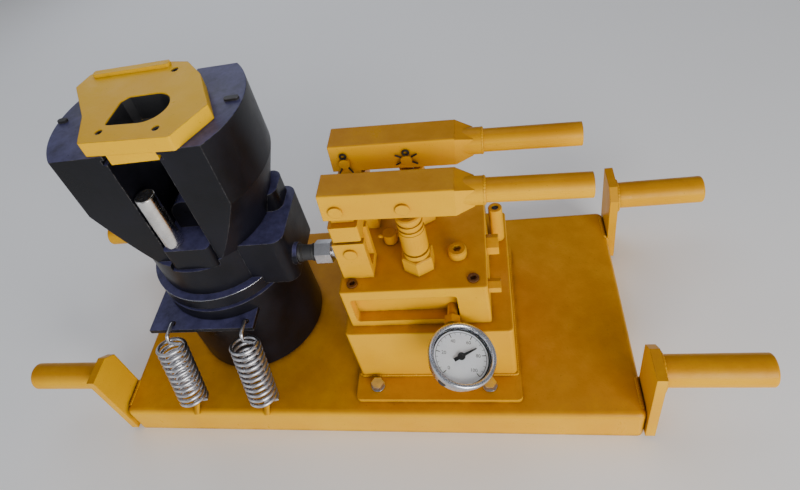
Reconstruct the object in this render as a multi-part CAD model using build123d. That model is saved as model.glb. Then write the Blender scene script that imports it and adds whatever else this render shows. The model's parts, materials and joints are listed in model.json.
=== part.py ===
from build123d import *
import math
import os

# Rebar bender: a sprung hydraulic bending head and a two-lever hand pump on a folded deck that two people carry.
# Millimetres. +Z is up, +X runs to the pump end, -Y is the working side. The origin is on the ground under the
# middle of the whole object's box. The gauge overhangs the working side, so the deck lies DECK_SHIFT towards +Y.
DECK_SHIFT = 11.0

# Deck, ears and carry bars
DECK_X, DECK_Y, DECK_Z = 640.0, 304.0, 46.0
DECK_PLATE = 6.0
DECK_BEND = 8.0
EAR_THICK, EAR_WIDE, EAR_LOW, EAR_HIGH = 10.0, 50.0, 5.0, 126.0
EAR_CORNER = 14.0
BAR_R, BAR_LONG, BAR_Y, BAR_Z = 16.85, 103.0, 128.0, 100.0
BAR_WALL, BAR_LIP = 3.2, 3.0

# Pump: foot, tank, block
FOOT_LOW_X, FOOT_HIGH_X, FOOT_LOW_Y, FOOT_HIGH_Y, FOOT_THICK = -2.0, 193.0, -136.0, 94.0, 6.0
FOOT_BOLTS = [(24.0, -118.0), (157.0, -118.0), (24.0, 83.5), (157.0, 83.5)]
BOLT_R = 5.0
TANK_LOW_X, TANK_HIGH_X, TANK_LOW_Y, TANK_HIGH_Y, TANK_TOP, TANK_WALL = 2.0, 189.0, -104.0, 73.0, 143.0, 5.0
BLOCK_LOW_X, BLOCK_HIGH_X, BLOCK_LOW_Y, BLOCK_HIGH_Y, BLOCK_TOP = 9.0, 167.0, -92.0, 53.0, 206.0
POCKET_LOW_X, POCKET_HIGH_X, POCKET_LOW_Z, POCKET_HIGH_Z, POCKET_DEEP = 18.0, 134.0, 152.0, 192.0, 14.0
BLOCK_SCREWS = [(23.0, -80.0), (153.0, -80.0), (23.0, 42.0), (153.0, 42.0)]
SCREW_HEAD_R, SCREW_HEAD_HIGH, SCREW_SOCKET_R = 6.0, 6.0, 3.2
PORT_PLUG_X, PORT_PLUG_Y, PORT_PLUG_R, PORT_PLUG_HIGH = 137.0, -46.0, 10.0, 10.0
SIDE_PLUG_Z = 196.0
FILLER_X, FILLER_Y, FILLER_R, FILLER_HIGH = 178.5, 31.0, 8.0, 52.0
RELEASE_X, RELEASE_Y = 62.0, -20.0

# Levers, links and plungers
LEVER_YS = {"front": -56.0, "rear": 17.0}
PLUNGER_X, LINK_X = 96.0, 30.0
POST_PIN_Z, LEVER_PIN_Z = 247.0, 312.0
LEVER_LOW_X, LEVER_SHOULDER_X, LEVER_NECK_X, LEVER_TIP_X = 15.0, 146.0, 164.0, 269.0
LEVER_LOW_Z, LEVER_HIGH_Z, LEVER_WIDE = 298.0, 333.0, 33.0
LEVER_SLOT_WIDE, LEVER_SLOT_HIGH_X, LEVER_ROOF = 17.0, 122.0, 6.0
HANDLE_R, HANDLE_WALL, COLLAR_R = 12.0, 3.0, 14.0
LEVER_TILT = 2.7
EYE_WIDE, EYE_R = 15.0, 12.0
PIN_R, PIN_FIT = 6.0, 0.05
PIN_HEAD_LONG, PIN_TAIL_LONG = 2.5, 4.0
EYE_SLIP_X, EYE_SLIP_Z = 3.4, 1.6
EYE_DROP = 3.11
PLUNGER_R, PLUNGER_FIT = 8.0, 0.05
BARREL_HEX, BARREL_HEX_HIGH, BARREL_R, BARREL_TOP = 32.0, 20.0, 14.0, 264.0
GLAND_R, GLAND_TOP = 13.5, 286.0
POST_WIDE, POST_DEEP, POST_CHEEK, POST_OVER = 34.0, 32.0, 8.0, 15.0

# Gauge: the face looks up and towards the working side
GAUGE_AT = Vector(137.0, -141.0, 160.0)
GAUGE_FACE = Vector(0.33, -0.165, 0.93)
GAUGE_R, GAUGE_DEEP, BEZEL_R, BEZEL_LIP = 32.5, 22.0, 35.5, 30.5
POINTER_TURN, POINTER_LONG, POINTER_TAIL = -54.0, 19.0, 9.0
STEM_X, STEM_Z, STEM_R = 126.0, 158.0, 5.5

# Bending head, on its own upright axis
HEAD_X, HEAD_Y = -158.0, 0.0
BARREL_HEAD_R, BARREL_HEAD_TOP, RAM_R, RAM_FIT, RAM_FOOT = 89.0, 178.0, 45.0, 0.05, 80.0
COLLAR_TOP, COLLAR_BEVEL = 200.0, 5.0
NECK_R, NECK_TOP, CROWN_R, CROWN_LOW, CROWN_TOP, CROWN_FLAT = 80.0, 250.0, 108.0, 330.0, 408.0, 69.0
SLOT_LOW_X, SLOT_HIGH_X, SLOT_FLOOR, NECK_BORE_TOP = -22.0, 36.0, 242.0, 236.0
GROOVE_DEEP, GROOVE_LOW, GROOVE_HIGH = 4.0, 397.0, 403.0
ANVIL_LOW, ANVIL_TOP, ANVIL_GAP = 396.0, 425.0, 0.4
RAM_TOP, RAM_STEM_R, RAM_HEAD_HALF_Y, RAM_HEAD_TOP = 194.0, 17.0, 76.0, 274.0
POST_X, POST_Y, POST_R, POST_TOP = -9.5, 63.0, 11.0, 348.0
FORMER_X, FORMER_R, FORMER_HALF_Y, FORMER_AXIS_Z = 9.0, 19.0, 40.0, 294.0
CROWN_KEYS = [(-107.0, -95.5), (88.0, 104.0)]
ANVIL_SCREWS = [(-23.0, -52.0), (41.0, -57.0), (25.0, 44.0)]
PLATE_LOW_X, PLATE_HIGH_X, PLATE_FRONT, PLATE_BACK, PLATE_LOW_Z, PLATE_THICK = -243.0, -106.0, -102.0, -20.0, 155.0, 6.0
PORT_HIGH_X, PORT_LOW_Y, PORT_HIGH_Y, PORT_LOW_Z, PORT_HIGH_Z = -48.0, -58.0, 34.0, 188.0, 256.0
PORT_BOSS = 5.0
FITTING_Y, FITTING_Z, NUT_AF, NUT_LOW_X, NUT_HIGH_X, HOSE_R = -37.0, 214.0, 24.0, -22.0, -3.0, 10.5

# Springs lean back from the deck's edge up to the spring plate
SPRING_XS = {"left": -214.0, "right": -117.0}
SPRING_FOOT, SPRING_HEAD = (-143.5, 48.6), (-113.0, 163.3)
SPRING_R, SPRING_WIRE_R, SPRING_TURNS, SPRING_BODY = 16.8, 2.2, 11.0, 94.0
PEG_R, PEG_LOW, PEG_HIGH = 3.5, (-153.0, 44.0), (-135.0, 56.0)
HOOK_Y, HOOK_HOLE_R, HOOK_BAR_R = -93.0, 4.0, 2.0

# Tilt hinge behind the head
HINGE_Y, HINGE_Z, HINGE_R, HINGE_FIT = 106.0, 62.0, 8.0, 0.05
LUG_HALF, CHEEK_THICK, CHEEK_GAP = 20.0, 16.0, 1.0


def box(low, high):
    """A box from its lowest to its highest corner."""
    size = [high[i] - low[i] for i in range(3)]
    middle = [(high[i] + low[i]) / 2 for i in range(3)]
    return Pos(*middle) * Box(*size)


def upright(x, y, low, high, radius):
    """A round bar standing from z = low to z = high."""
    return Pos(x, y, (low + high) / 2) * Cylinder(radius, high - low)


def along_x(y, z, low, high, radius):
    """A round bar lying along X."""
    return Pos((low + high) / 2, y, z) * Rot(0, 90, 0) * Cylinder(radius, high - low)


def along_y(x, z, low, high, radius):
    """A round bar lying along Y."""
    return Pos(x, (low + high) / 2, z) * Rot(90, 0, 0) * Cylinder(radius, high - low)


def hexagon(across_flats, high):
    """A hexagonal prism standing on the XY plane."""
    return extrude(RegularPolygon(across_flats / 2, 6, major_radius=False), high)


def eased(solid, axis, size):
    """The solid with its edges along one axis rounded."""
    return fillet(solid.edges().filter_by(axis), size)


def rod_between(x, low, high, radius):
    """A round bar in the plane of one x, between two (y, z) points."""
    rise_y, rise_z = high[0] - low[0], high[1] - low[1]
    lean = math.degrees(math.atan2(rise_y, rise_z))
    bar = Rot(-lean, 0, 0) * Cylinder(radius, math.hypot(rise_y, rise_z))
    return Pos(x, (low[0] + high[0]) / 2, (low[1] + high[1]) / 2) * bar


def drooped(solid):
    """A part of a lever, turned about its link pin to the lever's resting lean."""
    return Pos(LINK_X, 0, LEVER_PIN_Z) * Rot(0, LEVER_TILT, 0) * Pos(-LINK_X, 0, -LEVER_PIN_Z) * solid


# ---------------------------------------------------------------- deck
def deck_tray():
    """Folded plate tray, open underneath, with rounded bends."""
    outer = box((-DECK_X / 2, -DECK_Y / 2, 0), (DECK_X / 2, DECK_Y / 2, DECK_Z))
    outer = eased(outer, Axis.Z, DECK_BEND)
    outer = fillet(outer.faces().sort_by(Axis.Z)[-1].edges(), DECK_BEND - 1)
    inner = box((-DECK_X / 2 + DECK_PLATE, -DECK_Y / 2 + DECK_PLATE, -1),
                (DECK_X / 2 - DECK_PLATE, DECK_Y / 2 - DECK_PLATE, DECK_Z - DECK_PLATE))
    return outer - inner


def carry_ears(end):
    """The two upright plates on one end face of the deck."""
    return Compound([carry_ear(side, end) for side in (-1, 1)])


def carry_ear(side, end):
    """Upright plate on the deck's end face, with its inner top corner cut off."""
    outer_y = DECK_Y / 2 + 2
    points = [(outer_y, EAR_LOW), (outer_y, EAR_HIGH), (outer_y - EAR_WIDE + EAR_CORNER, EAR_HIGH),
              (outer_y - EAR_WIDE, EAR_HIGH - EAR_CORNER), (outer_y - EAR_WIDE, EAR_LOW)]
    profile = Plane.YZ * make_face(Polyline([(side * y, z) for y, z in points], close=True))
    plate = extrude(profile, EAR_THICK)
    start = DECK_X / 2 if end > 0 else -DECK_X / 2 - EAR_THICK
    plate = Pos(start - plate.bounding_box().min.X, 0, 0) * plate
    return plate


def carry_bar(side, end):
    """Tube with a closed, rounded end and a weld ring, standing out from its ear."""
    start = DECK_X / 2 + EAR_THICK
    bar = along_x(0, 0, 0, BAR_LONG, BAR_R)
    bar = fillet(bar.edges().sort_by(Axis.X)[-1], BAR_LIP)
    bar -= along_x(0, 0, -1, BAR_LONG - 2 * BAR_LIP, BAR_R - BAR_WALL)
    weld = Pos(1.75, 0, 0) * Rot(0, 90, 0) * Cone(BAR_R + 3.5, BAR_R, 3.5)
    weld -= along_x(0, 0, -1, 5, BAR_R - BAR_WALL)
    bar = Pos(start, side * BAR_Y, BAR_Z) * (bar + weld)
    return bar if end > 0 else mirror(bar, Plane.YZ)


# ---------------------------------------------------------------- pump body
def pump_foot():
    """Flat flange under the tank, bolted to the deck."""
    plate = box((FOOT_LOW_X, FOOT_LOW_Y, DECK_Z), (FOOT_HIGH_X, FOOT_HIGH_Y, DECK_Z + FOOT_THICK))
    plate = eased(plate, Axis.Z, 6)
    for x, y in FOOT_BOLTS:
        plate -= upright(x, y, DECK_Z - 1, DECK_Z + FOOT_THICK + 1, BOLT_R)
    return plate


def foot_bolts():
    """Four hexagon bolts with washers."""
    top = DECK_Z + FOOT_THICK
    bolts = []
    for x, y in FOOT_BOLTS:
        bolt = Pos(x, y, top + 1.5) * hexagon(14, 6)
        bolt += upright(x, y, top, top + 1.5, 8.5)
        bolt += upright(x, y, DECK_Z, top + 1, BOLT_R)
        bolts.append(bolt)
    return Compound(bolts)


def tank_shell():
    """Welded oil tank, open at the top where the block covers it."""
    floor = DECK_Z + FOOT_THICK
    outer = box((TANK_LOW_X, TANK_LOW_Y, floor), (TANK_HIGH_X, TANK_HIGH_Y, TANK_TOP))
    outer = eased(outer, Axis.Z, 5)
    outer = fillet(outer.faces().sort_by(Axis.Z)[-1].edges(), 2)
    inner_x = BLOCK_HIGH_X - 3 * TANK_WALL
    inner = box((TANK_LOW_X + 3 * TANK_WALL, TANK_LOW_Y + 4 * TANK_WALL, floor + TANK_WALL),
                (inner_x, TANK_HIGH_Y - 4 * TANK_WALL, TANK_TOP + 1))
    neck = upright(FILLER_X, FILLER_Y, TANK_TOP - 6, TANK_TOP + 1, FILLER_R - 3)
    return outer - inner - neck


def pump_block():
    """Valve block with a pocket in its front and bores for the plungers, screws and valves."""
    block = box((BLOCK_LOW_X, BLOCK_LOW_Y, TANK_TOP), (BLOCK_HIGH_X, BLOCK_HIGH_Y, BLOCK_TOP))
    block = eased(block, Axis.Z, 3)
    block = fillet(block.faces().sort_by(Axis.Z)[-1].edges(), 2)
    pocket = box((POCKET_LOW_X, BLOCK_LOW_Y - 1, POCKET_LOW_Z),
                 (POCKET_HIGH_X, BLOCK_LOW_Y + POCKET_DEEP, POCKET_HIGH_Z))
    block -= eased(pocket, Axis.Y, 4)
    for x, y in BLOCK_SCREWS:
        block -= upright(x, y, BLOCK_TOP - SCREW_HEAD_HIGH - 6, BLOCK_TOP + 1, SCREW_HEAD_R)
    for y in LEVER_YS.values():
        block -= upright(PLUNGER_X, y, TANK_TOP + 22, BLOCK_TOP + 1, PLUNGER_R + PLUNGER_FIT)
        block -= upright(PLUNGER_X, y, TANK_TOP + 12, TANK_TOP + 23, 6)
    block -= upright(RELEASE_X, RELEASE_Y, BLOCK_TOP - 25, BLOCK_TOP + 1, 5.05)
    return block


def block_screws():
    """Four socket screws, sunk so that their heads stand 2 mm proud."""
    screws = []
    for x, y in BLOCK_SCREWS:
        screw = upright(x, y, BLOCK_TOP - SCREW_HEAD_HIGH - 6, BLOCK_TOP + 2, SCREW_HEAD_R)
        screw -= Pos(x, y, BLOCK_TOP - 2) * hexagon(2 * SCREW_SOCKET_R, 5)
        screws.append(screw)
    return Compound(screws)


def block_plugs():
    """Round port plug on top and two hexagon plugs with a boss on the end face."""
    top = upright(PORT_PLUG_X, PORT_PLUG_Y, BLOCK_TOP, BLOCK_TOP + PORT_PLUG_HIGH, PORT_PLUG_R)
    top = chamfer(top.faces().sort_by(Axis.Z)[-1].edges(), 1.5)
    top -= Pos(PORT_PLUG_X, PORT_PLUG_Y, BLOCK_TOP + 5) * hexagon(8, 6)
    plugs = [top]
    for y, across in ((-80.0, 13.0), (-22.0, 20.0)):
        face = Plane(origin=(BLOCK_HIGH_X, y, SIDE_PLUG_Z - across / 4), z_dir=(1, 0, 0))
        plug = face * hexagon(across, 13)
        plugs.append(plug)
    return Compound(plugs)


def filler_cap():
    """Round breather plug that stands on the tank and pushes into its filler hole."""
    cap = upright(FILLER_X, FILLER_Y, TANK_TOP, TANK_TOP + FILLER_HIGH, FILLER_R)
    cap = fillet(cap.faces().sort_by(Axis.Z)[-1].edges(), 1.5)
    cap += upright(FILLER_X, FILLER_Y, TANK_TOP - 5, TANK_TOP + 1, FILLER_R - 3.05)
    cap -= upright(FILLER_X, FILLER_Y, TANK_TOP + FILLER_HIGH - 6, TANK_TOP + FILLER_HIGH + 1, 4)
    return cap


def release_valve():
    """Release screw with a round head and a cross bar, turned by hand to let the ram down."""
    screw = upright(RELEASE_X, RELEASE_Y, BLOCK_TOP - 24, BLOCK_TOP + 4, 5)
    screw += upright(RELEASE_X, RELEASE_Y, BLOCK_TOP + 1, BLOCK_TOP + 14, 8)
    screw += along_x(RELEASE_Y, BLOCK_TOP + 9, RELEASE_X - 13, RELEASE_X + 13, 2.5)
    return screw


def suction_strainer():
    """Tube strainer that hangs under the block in the oil."""
    x = (TANK_LOW_X + TANK_HIGH_X) / 2 - 10
    y = (TANK_LOW_Y + TANK_HIGH_Y) / 2
    tube = upright(x, y, 72, TANK_TOP, 15)
    return tube - upright(x, y, 71, TANK_TOP - 6, 12)


def check_balls():
    """One steel ball in each plunger's inlet pocket."""
    return Compound([Pos(PLUNGER_X, y, TANK_TOP + 17) * Sphere(5) for y in LEVER_YS.values()])


# ---------------------------------------------------------------- pump levers
def plunger_barrels():
    """Barrels with a hexagon foot, screwed into the block."""
    barrels = []
    for y in LEVER_YS.values():
        barrel = Pos(PLUNGER_X, y, BLOCK_TOP) * Rot(0, 0, 30) * hexagon(BARREL_HEX, BARREL_HEX_HIGH)
        barrel = chamfer(barrel.faces().sort_by(Axis.Z)[-1].edges(), 1.5)
        barrel += upright(PLUNGER_X, y, BLOCK_TOP + 1, BARREL_TOP, BARREL_R)
        groove_low = BLOCK_TOP + BARREL_HEX_HIGH + 6
        groove = upright(PLUNGER_X, y, groove_low, groove_low + 3, BARREL_R + 1)
        barrel -= groove - upright(PLUNGER_X, y, groove_low - 1, groove_low + 4, BARREL_R - 2)
        barrel -= upright(PLUNGER_X, y, BLOCK_TOP - 1, BARREL_TOP + 1, PLUNGER_R + PLUNGER_FIT)
        barrels.append(barrel)
    return Compound(barrels)


def gland_nuts():
    """Round gland nuts with two grip grooves, on top of the barrels."""
    nuts = []
    for y in LEVER_YS.values():
        nut = upright(PLUNGER_X, y, BARREL_TOP, GLAND_TOP, GLAND_R)
        nut = chamfer(nut.faces().sort_by(Axis.Z)[-1].edges(), 1.5)
        for low in (BARREL_TOP + 4, BARREL_TOP + 12):
            ring = upright(PLUNGER_X, y, low, low + 3, GLAND_R + 1)
            nut -= ring - upright(PLUNGER_X, y, low - 1, low + 4, GLAND_R - 1.5)
        nut -= upright(PLUNGER_X, y, BARREL_TOP - 1, BARREL_TOP + 6, PLUNGER_R + 2.5)
        nut -= upright(PLUNGER_X, y, BARREL_TOP, GLAND_TOP + 1, PLUNGER_R + PLUNGER_FIT)
        nuts.append(nut)
    return Compound(nuts)


def plunger_seals():
    """Seal rings inside the gland nuts."""
    seals = []
    for y in LEVER_YS.values():
        seal = upright(PLUNGER_X, y, BARREL_TOP, BARREL_TOP + 6, PLUNGER_R + 2.5)
        seals.append(seal - upright(PLUNGER_X, y, BARREL_TOP - 1, BARREL_TOP + 7, PLUNGER_R + PLUNGER_FIT))
    return Compound(seals)


def plunger(y):
    """Plunger with an eye that slips a little along the lever's pin."""
    eye_z = LEVER_PIN_Z - EYE_DROP
    body = upright(PLUNGER_X, y, TANK_TOP + 40, LEVER_LOW_Z - 7, PLUNGER_R)
    eye = along_y(PLUNGER_X + 1, eye_z, y - EYE_WIDE / 2, y + EYE_WIDE / 2, EYE_R)
    eye += box((PLUNGER_X - PLUNGER_R + 2, y - EYE_WIDE / 2 + 1, GLAND_TOP + 3),
               (PLUNGER_X + PLUNGER_R - 2, y + EYE_WIDE / 2 - 1, eye_z - 4))
    wide = 2 * PIN_R + EYE_SLIP_X
    high = 2 * PIN_R + EYE_SLIP_Z
    hole_plane = Plane(origin=(PLUNGER_X + 1, y + 10, eye_z + 0.4), x_dir=(1, 0, 0), z_dir=(0, -1, 0))
    hole = hole_plane * extrude(RectangleRounded(wide, high, high / 2 - 0.2), 20)
    return body + eye - hole


def lever_posts():
    """Clevis posts on the block that hold the links' lower pins."""
    posts = []
    for y in LEVER_YS.values():
        cheeks = []
        for side in (-1, 1):
            low_y = y - POST_DEEP / 2 if side < 0 else y + POST_DEEP / 2 - POST_CHEEK
            cheek = box((LINK_X - POST_WIDE / 2, low_y, BLOCK_TOP),
                        (LINK_X + POST_WIDE / 2, low_y + POST_CHEEK, POST_PIN_Z + POST_OVER))
            cheeks.append(cheek)
        post = cheeks[0] + cheeks[1]
        post += box((LINK_X - POST_WIDE / 2, y - POST_DEEP / 2, BLOCK_TOP),
                    (LINK_X + POST_WIDE / 2, y + POST_DEEP / 2, BLOCK_TOP + 12))
        post -= along_y(LINK_X, POST_PIN_Z, y - 30, y + 30, PIN_R)
        posts.append(post)
    return Compound(posts)


def tail_side(y):
    """The side that a pump set's pins have their tails on: each set's heads face away from the other set's."""
    return 1 if y == LEVER_YS["front"] else -1


def clevis_pin(x, y, z, half, tail):
    """Headed pin along Y, with its tail on the side +1 or -1."""
    far, near = y + tail * (half + PIN_TAIL_LONG), y - tail * half
    head = near - tail * PIN_HEAD_LONG
    pin = along_y(x, z, min(far, near), max(far, near), PIN_R)
    return pin + along_y(x, z, min(head, near), max(head, near), PIN_R + 1)


def post_pins():
    """Pins fixed in the posts."""
    return Compound([clevis_pin(LINK_X, y, POST_PIN_Z, POST_DEEP / 2, tail_side(y)) for y in LEVER_YS.values()])


def link(y):
    """Flat link between a post and the end of a lever."""
    low_y, high_y = y - EYE_WIDE / 2, y + EYE_WIDE / 2
    bar = box((LINK_X - EYE_R, low_y, POST_PIN_Z), (LINK_X + EYE_R, high_y, LEVER_PIN_Z))
    for z in (POST_PIN_Z, LEVER_PIN_Z):
        bar += along_y(LINK_X, z, low_y, high_y, EYE_R)
    for z in (POST_PIN_Z, LEVER_PIN_Z):
        bar -= along_y(LINK_X, z, low_y - 1, high_y + 1, PIN_R + PIN_FIT)
    return bar


def lever_arm(y):
    """Square lever body, slotted from below at its pins, tapering to a round collar."""
    half = LEVER_WIDE / 2
    axis_z = (LEVER_LOW_Z + LEVER_HIGH_Z) / 2
    arm = box((LEVER_LOW_X, y - half, LEVER_LOW_Z), (LEVER_SHOULDER_X, y + half, LEVER_HIGH_Z))
    arm = eased(arm, Axis.X, 2)
    square = Plane(origin=(LEVER_SHOULDER_X, y, axis_z), z_dir=(1, 0, 0)) * Rectangle(LEVER_WIDE, LEVER_WIDE)
    small = Plane(origin=(LEVER_NECK_X, y, axis_z), z_dir=(1, 0, 0)) * Rectangle(2 * HANDLE_R - 3, 2 * HANDLE_R - 3)
    arm += loft([square, small])
    arm += along_x(y, axis_z, LEVER_NECK_X - 14, LEVER_NECK_X + 8, COLLAR_R)
    arm -= box((LEVER_LOW_X - 1, y - LEVER_SLOT_WIDE / 2, LEVER_LOW_Z - 1),
               (LEVER_SLOT_HIGH_X, y + LEVER_SLOT_WIDE / 2, LEVER_HIGH_Z - LEVER_ROOF))
    arm -= along_x(y, axis_z, LEVER_NECK_X - 6, LEVER_NECK_X + 9, HANDLE_R)
    for x in (LINK_X, PLUNGER_X):
        arm -= along_y(x, LEVER_PIN_Z, y - 30, y + 30, PIN_R)
    return drooped(arm)


def lever_handle(y):
    """Tube pressed into the lever's collar, open at its end."""
    axis_z = (LEVER_LOW_Z + LEVER_HIGH_Z) / 2
    tube = along_x(y, axis_z, LEVER_NECK_X - 6, LEVER_TIP_X, HANDLE_R)
    return drooped(tube - along_x(y, axis_z, LEVER_NECK_X - 7, LEVER_TIP_X + 1, HANDLE_R - HANDLE_WALL))


def lever_pins(y):
    """The lever's two pins: link pin and plunger pin."""
    pins = [clevis_pin(x, y, LEVER_PIN_Z, LEVER_WIDE / 2, tail_side(y)) for x in (LINK_X, PLUNGER_X)]
    return Compound([drooped(pin) for pin in pins])


def split_pins(y):
    """Split pins through the tails of the lever's pins; the rear lever's plunger pin has long, widely bent legs."""
    at_y = y + tail_side(y) * (LEVER_WIDE / 2 + 2)
    pins = []
    for x in (LINK_X, PLUNGER_X):
        crossed = x == PLUNGER_X and y == LEVER_YS["rear"]
        lean, long, drop = (60, 26, 0) if crossed else (28, 10, 11)
        legs = [Pos(x, at_y, LEVER_PIN_Z) * Rot(0, side * lean, 0) * Pos(0, 0, -drop) * Cylinder(0.9, long)
                for side in (-1, 1)]
        eye = Pos(x, at_y, LEVER_PIN_Z + PIN_R + 3) * Rot(90, 0, 0) * Torus(3, 1.1)
        pins.append(eye)
        if crossed:
            pins.append(legs[0] + legs[1])
        else:
            pins.extend(legs)
    return Compound([drooped(pin) for pin in pins])


# ---------------------------------------------------------------- gauge
def gauge_plane(back=0.0):
    """The gauge face's plane, moved back along the gauge's axis."""
    normal = GAUGE_FACE.normalized()
    return Plane(origin=GAUGE_AT - normal * back, x_dir=(1, 0, -normal.X / normal.Z), z_dir=normal)


def gauge_disc(back, thick, radius):
    """A round disc of the gauge, `back` behind the glass's face."""
    return gauge_plane(back) * extrude(Circle(radius), -thick)


def gauge_case():
    """Steel cup with a stem boss at its rear side."""
    case = gauge_disc(3, GAUGE_DEEP, GAUGE_R) - gauge_disc(0, 10, BEZEL_LIP)
    return case


def gauge_bezel():
    """Rolled steel ring that holds the glass."""
    ring = gauge_disc(0, 9, BEZEL_R) - gauge_disc(-1, 4, BEZEL_LIP) - gauge_disc(3, 8, GAUGE_R)
    return ring


def gauge_glass():
    """Flat glass."""
    return gauge_disc(1, 2, BEZEL_LIP)


def gauge_dial():
    """White dial plate on the case's floor."""
    return gauge_disc(8.5, 1.5, BEZEL_LIP) - gauge_disc(8, 3, 1.55)


def gauge_pointer():
    """Pointer and its spindle."""
    spindle = gauge_disc(5, 4.5, 1.5)
    hub = gauge_disc(5.5, 1.5, 4)
    hand = gauge_plane(5.8) * Rot(0, 0, POINTER_TURN) * extrude(
        make_face(Polyline([(-2, -POINTER_TAIL), (2, -POINTER_TAIL), (0.7, POINTER_LONG), (-0.7, POINTER_LONG)],
                           close=True)), -0.8)
    return spindle + hub + hand


def gauge_stem():
    """Stem with a hexagon collar, from the gauge's side to the pocket of the block."""
    stem = along_y(STEM_X, STEM_Z, GAUGE_AT.Y, BLOCK_LOW_Y + POCKET_DEEP, STEM_R)
    stem += Plane(origin=(STEM_X, BLOCK_LOW_Y - 3, STEM_Z), z_dir=(0, -1, 0)) * hexagon(16, 10)
    stem -= gauge_disc(-20, 60, GAUGE_R)
    stem -= gauge_disc(-20, 29, BEZEL_R)
    return max(stem.solids(), key=lambda piece: piece.volume)


# ---------------------------------------------------------------- bending head
def head_barrel():
    """Hydraulic barrel with a blind bore."""
    barrel = upright(HEAD_X, HEAD_Y, DECK_Z, BARREL_HEAD_TOP, BARREL_HEAD_R)
    barrel = chamfer(barrel.faces().sort_by(Axis.Z)[0].edges(), 3)
    return barrel - upright(HEAD_X, HEAD_Y, RAM_FOOT - 8, BARREL_HEAD_TOP + 1, RAM_R + RAM_FIT)


def head_collar():
    """Ring that joins the barrel to the yoke, bevelled below, with a seal groove."""
    ring = upright(HEAD_X, HEAD_Y, BARREL_HEAD_TOP, COLLAR_TOP, BARREL_HEAD_R)
    ring = chamfer(ring.faces().sort_by(Axis.Z)[0].edges(), COLLAR_BEVEL)
    ring -= upright(HEAD_X, HEAD_Y, BARREL_HEAD_TOP - 1, COLLAR_TOP + 1, RAM_R + RAM_FIT)
    return ring - upright(HEAD_X, HEAD_Y, 184, 192, RAM_R + 5)


def ram_seal():
    """Seal ring in the collar's groove."""
    return upright(HEAD_X, HEAD_Y, 184, 192, RAM_R + 5) - upright(HEAD_X, HEAD_Y, 183, 193, RAM_R + RAM_FIT)


def yoke():
    """Forged yoke: round neck, flared crown with flats, and a slot that runs from front to back."""
    profile = make_face(Polyline([(0, COLLAR_TOP), (NECK_R, COLLAR_TOP), (NECK_R, NECK_TOP), (CROWN_R, CROWN_LOW),
                                  (CROWN_R, CROWN_TOP), (0, CROWN_TOP)], close=True))
    body = revolve(Plane.XZ * profile, Axis.Z)
    keep = box((-200, -CROWN_FLAT, NECK_TOP), (200, CROWN_FLAT, CROWN_TOP))
    keep += box((-200, -200, COLLAR_TOP), (200, 200, NECK_TOP))
    body = body & keep
    body -= box((SLOT_LOW_X, -200, SLOT_FLOOR), (SLOT_HIGH_X, 200, CROWN_TOP + 1))
    body -= box((SLOT_LOW_X - GROOVE_DEEP, -200, GROOVE_LOW), (SLOT_HIGH_X + GROOVE_DEEP, 200, GROOVE_HIGH))
    body -= upright(0, 0, COLLAR_TOP - 1, NECK_BORE_TOP, RAM_R + 1)
    body -= upright(0, 0, COLLAR_TOP - 1, SLOT_FLOOR + 1, RAM_STEM_R + 0.5)
    return Pos(HEAD_X, HEAD_Y, 0) * body


def anvil():
    """Sliding anvil: wide cover plate with a hand hole, a nose that fills the slot, tongues in the grooves."""
    outline = [(-40, -67), (60, -73), (86, -29), (60, 28), (36, 57), (0, 66), (-86, 61), (-94, 38), (-57, -21)]
    plate = Pos(0, 0, CROWN_TOP + ANVIL_GAP) * extrude(make_face(Polyline(outline, close=True)),
                                                      ANVIL_TOP - CROWN_TOP - ANVIL_GAP)
    plate = eased(plate, Axis.Z, 3)
    low_x, high_x = SLOT_LOW_X + ANVIL_GAP, SLOT_HIGH_X - ANVIL_GAP
    nose = box((low_x + 4, -68, ANVIL_LOW), (high_x, 62, CROWN_TOP + 2))
    reach = GROOVE_DEEP - 0.6
    tongue = box((low_x - reach, -40, GROOVE_LOW + ANVIL_GAP), (high_x + reach, 62, GROOVE_HIGH - ANVIL_GAP))
    body = plate + nose + tongue
    hand = make_face(Polyline([(-22, -42), (17, -45), (17, 4), (-13, 4), (-20, -3)], close=True))
    hand_hole = eased(Pos(0, 0, 380) * extrude(hand, 60), Axis.Z, 5)
    hand_hole += upright(17, -20.5, 380, 440, 24.5)
    body -= hand_hole
    rib = box((-78, 51, ANVIL_TOP - 1), (16, 60, ANVIL_TOP + 4))
    body += eased(rib, Axis.Z, 3)
    for x, y in ANVIL_SCREWS:
        body -= upright(x, y, ANVIL_TOP - 8, ANVIL_TOP + 6, 4)
    return Pos(HEAD_X, HEAD_Y, 0) * body


def anvil_screws():
    """Three grub screws that set the anvil's guides."""
    screws = []
    for x, y in ANVIL_SCREWS:
        screw = upright(HEAD_X + x, HEAD_Y + y, ANVIL_TOP - 8, ANVIL_TOP - 1, 4)
        screws.append(screw - Pos(HEAD_X + x, HEAD_Y + y, ANVIL_TOP - 4) * hexagon(4, 5))
    return Compound(screws)


def crown_keys():
    """Small keys let into the tops of the yoke's columns, beside the anvil."""
    keys = []
    for low, high in CROWN_KEYS:
        key = box((HEAD_X + low, HEAD_Y - 3, CROWN_TOP), (HEAD_X + high, HEAD_Y + 3, CROWN_TOP + 3))
        keys.append(fillet(key.edges().filter_by(Axis.Z), 2.5))
    return Compound(keys)


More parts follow.
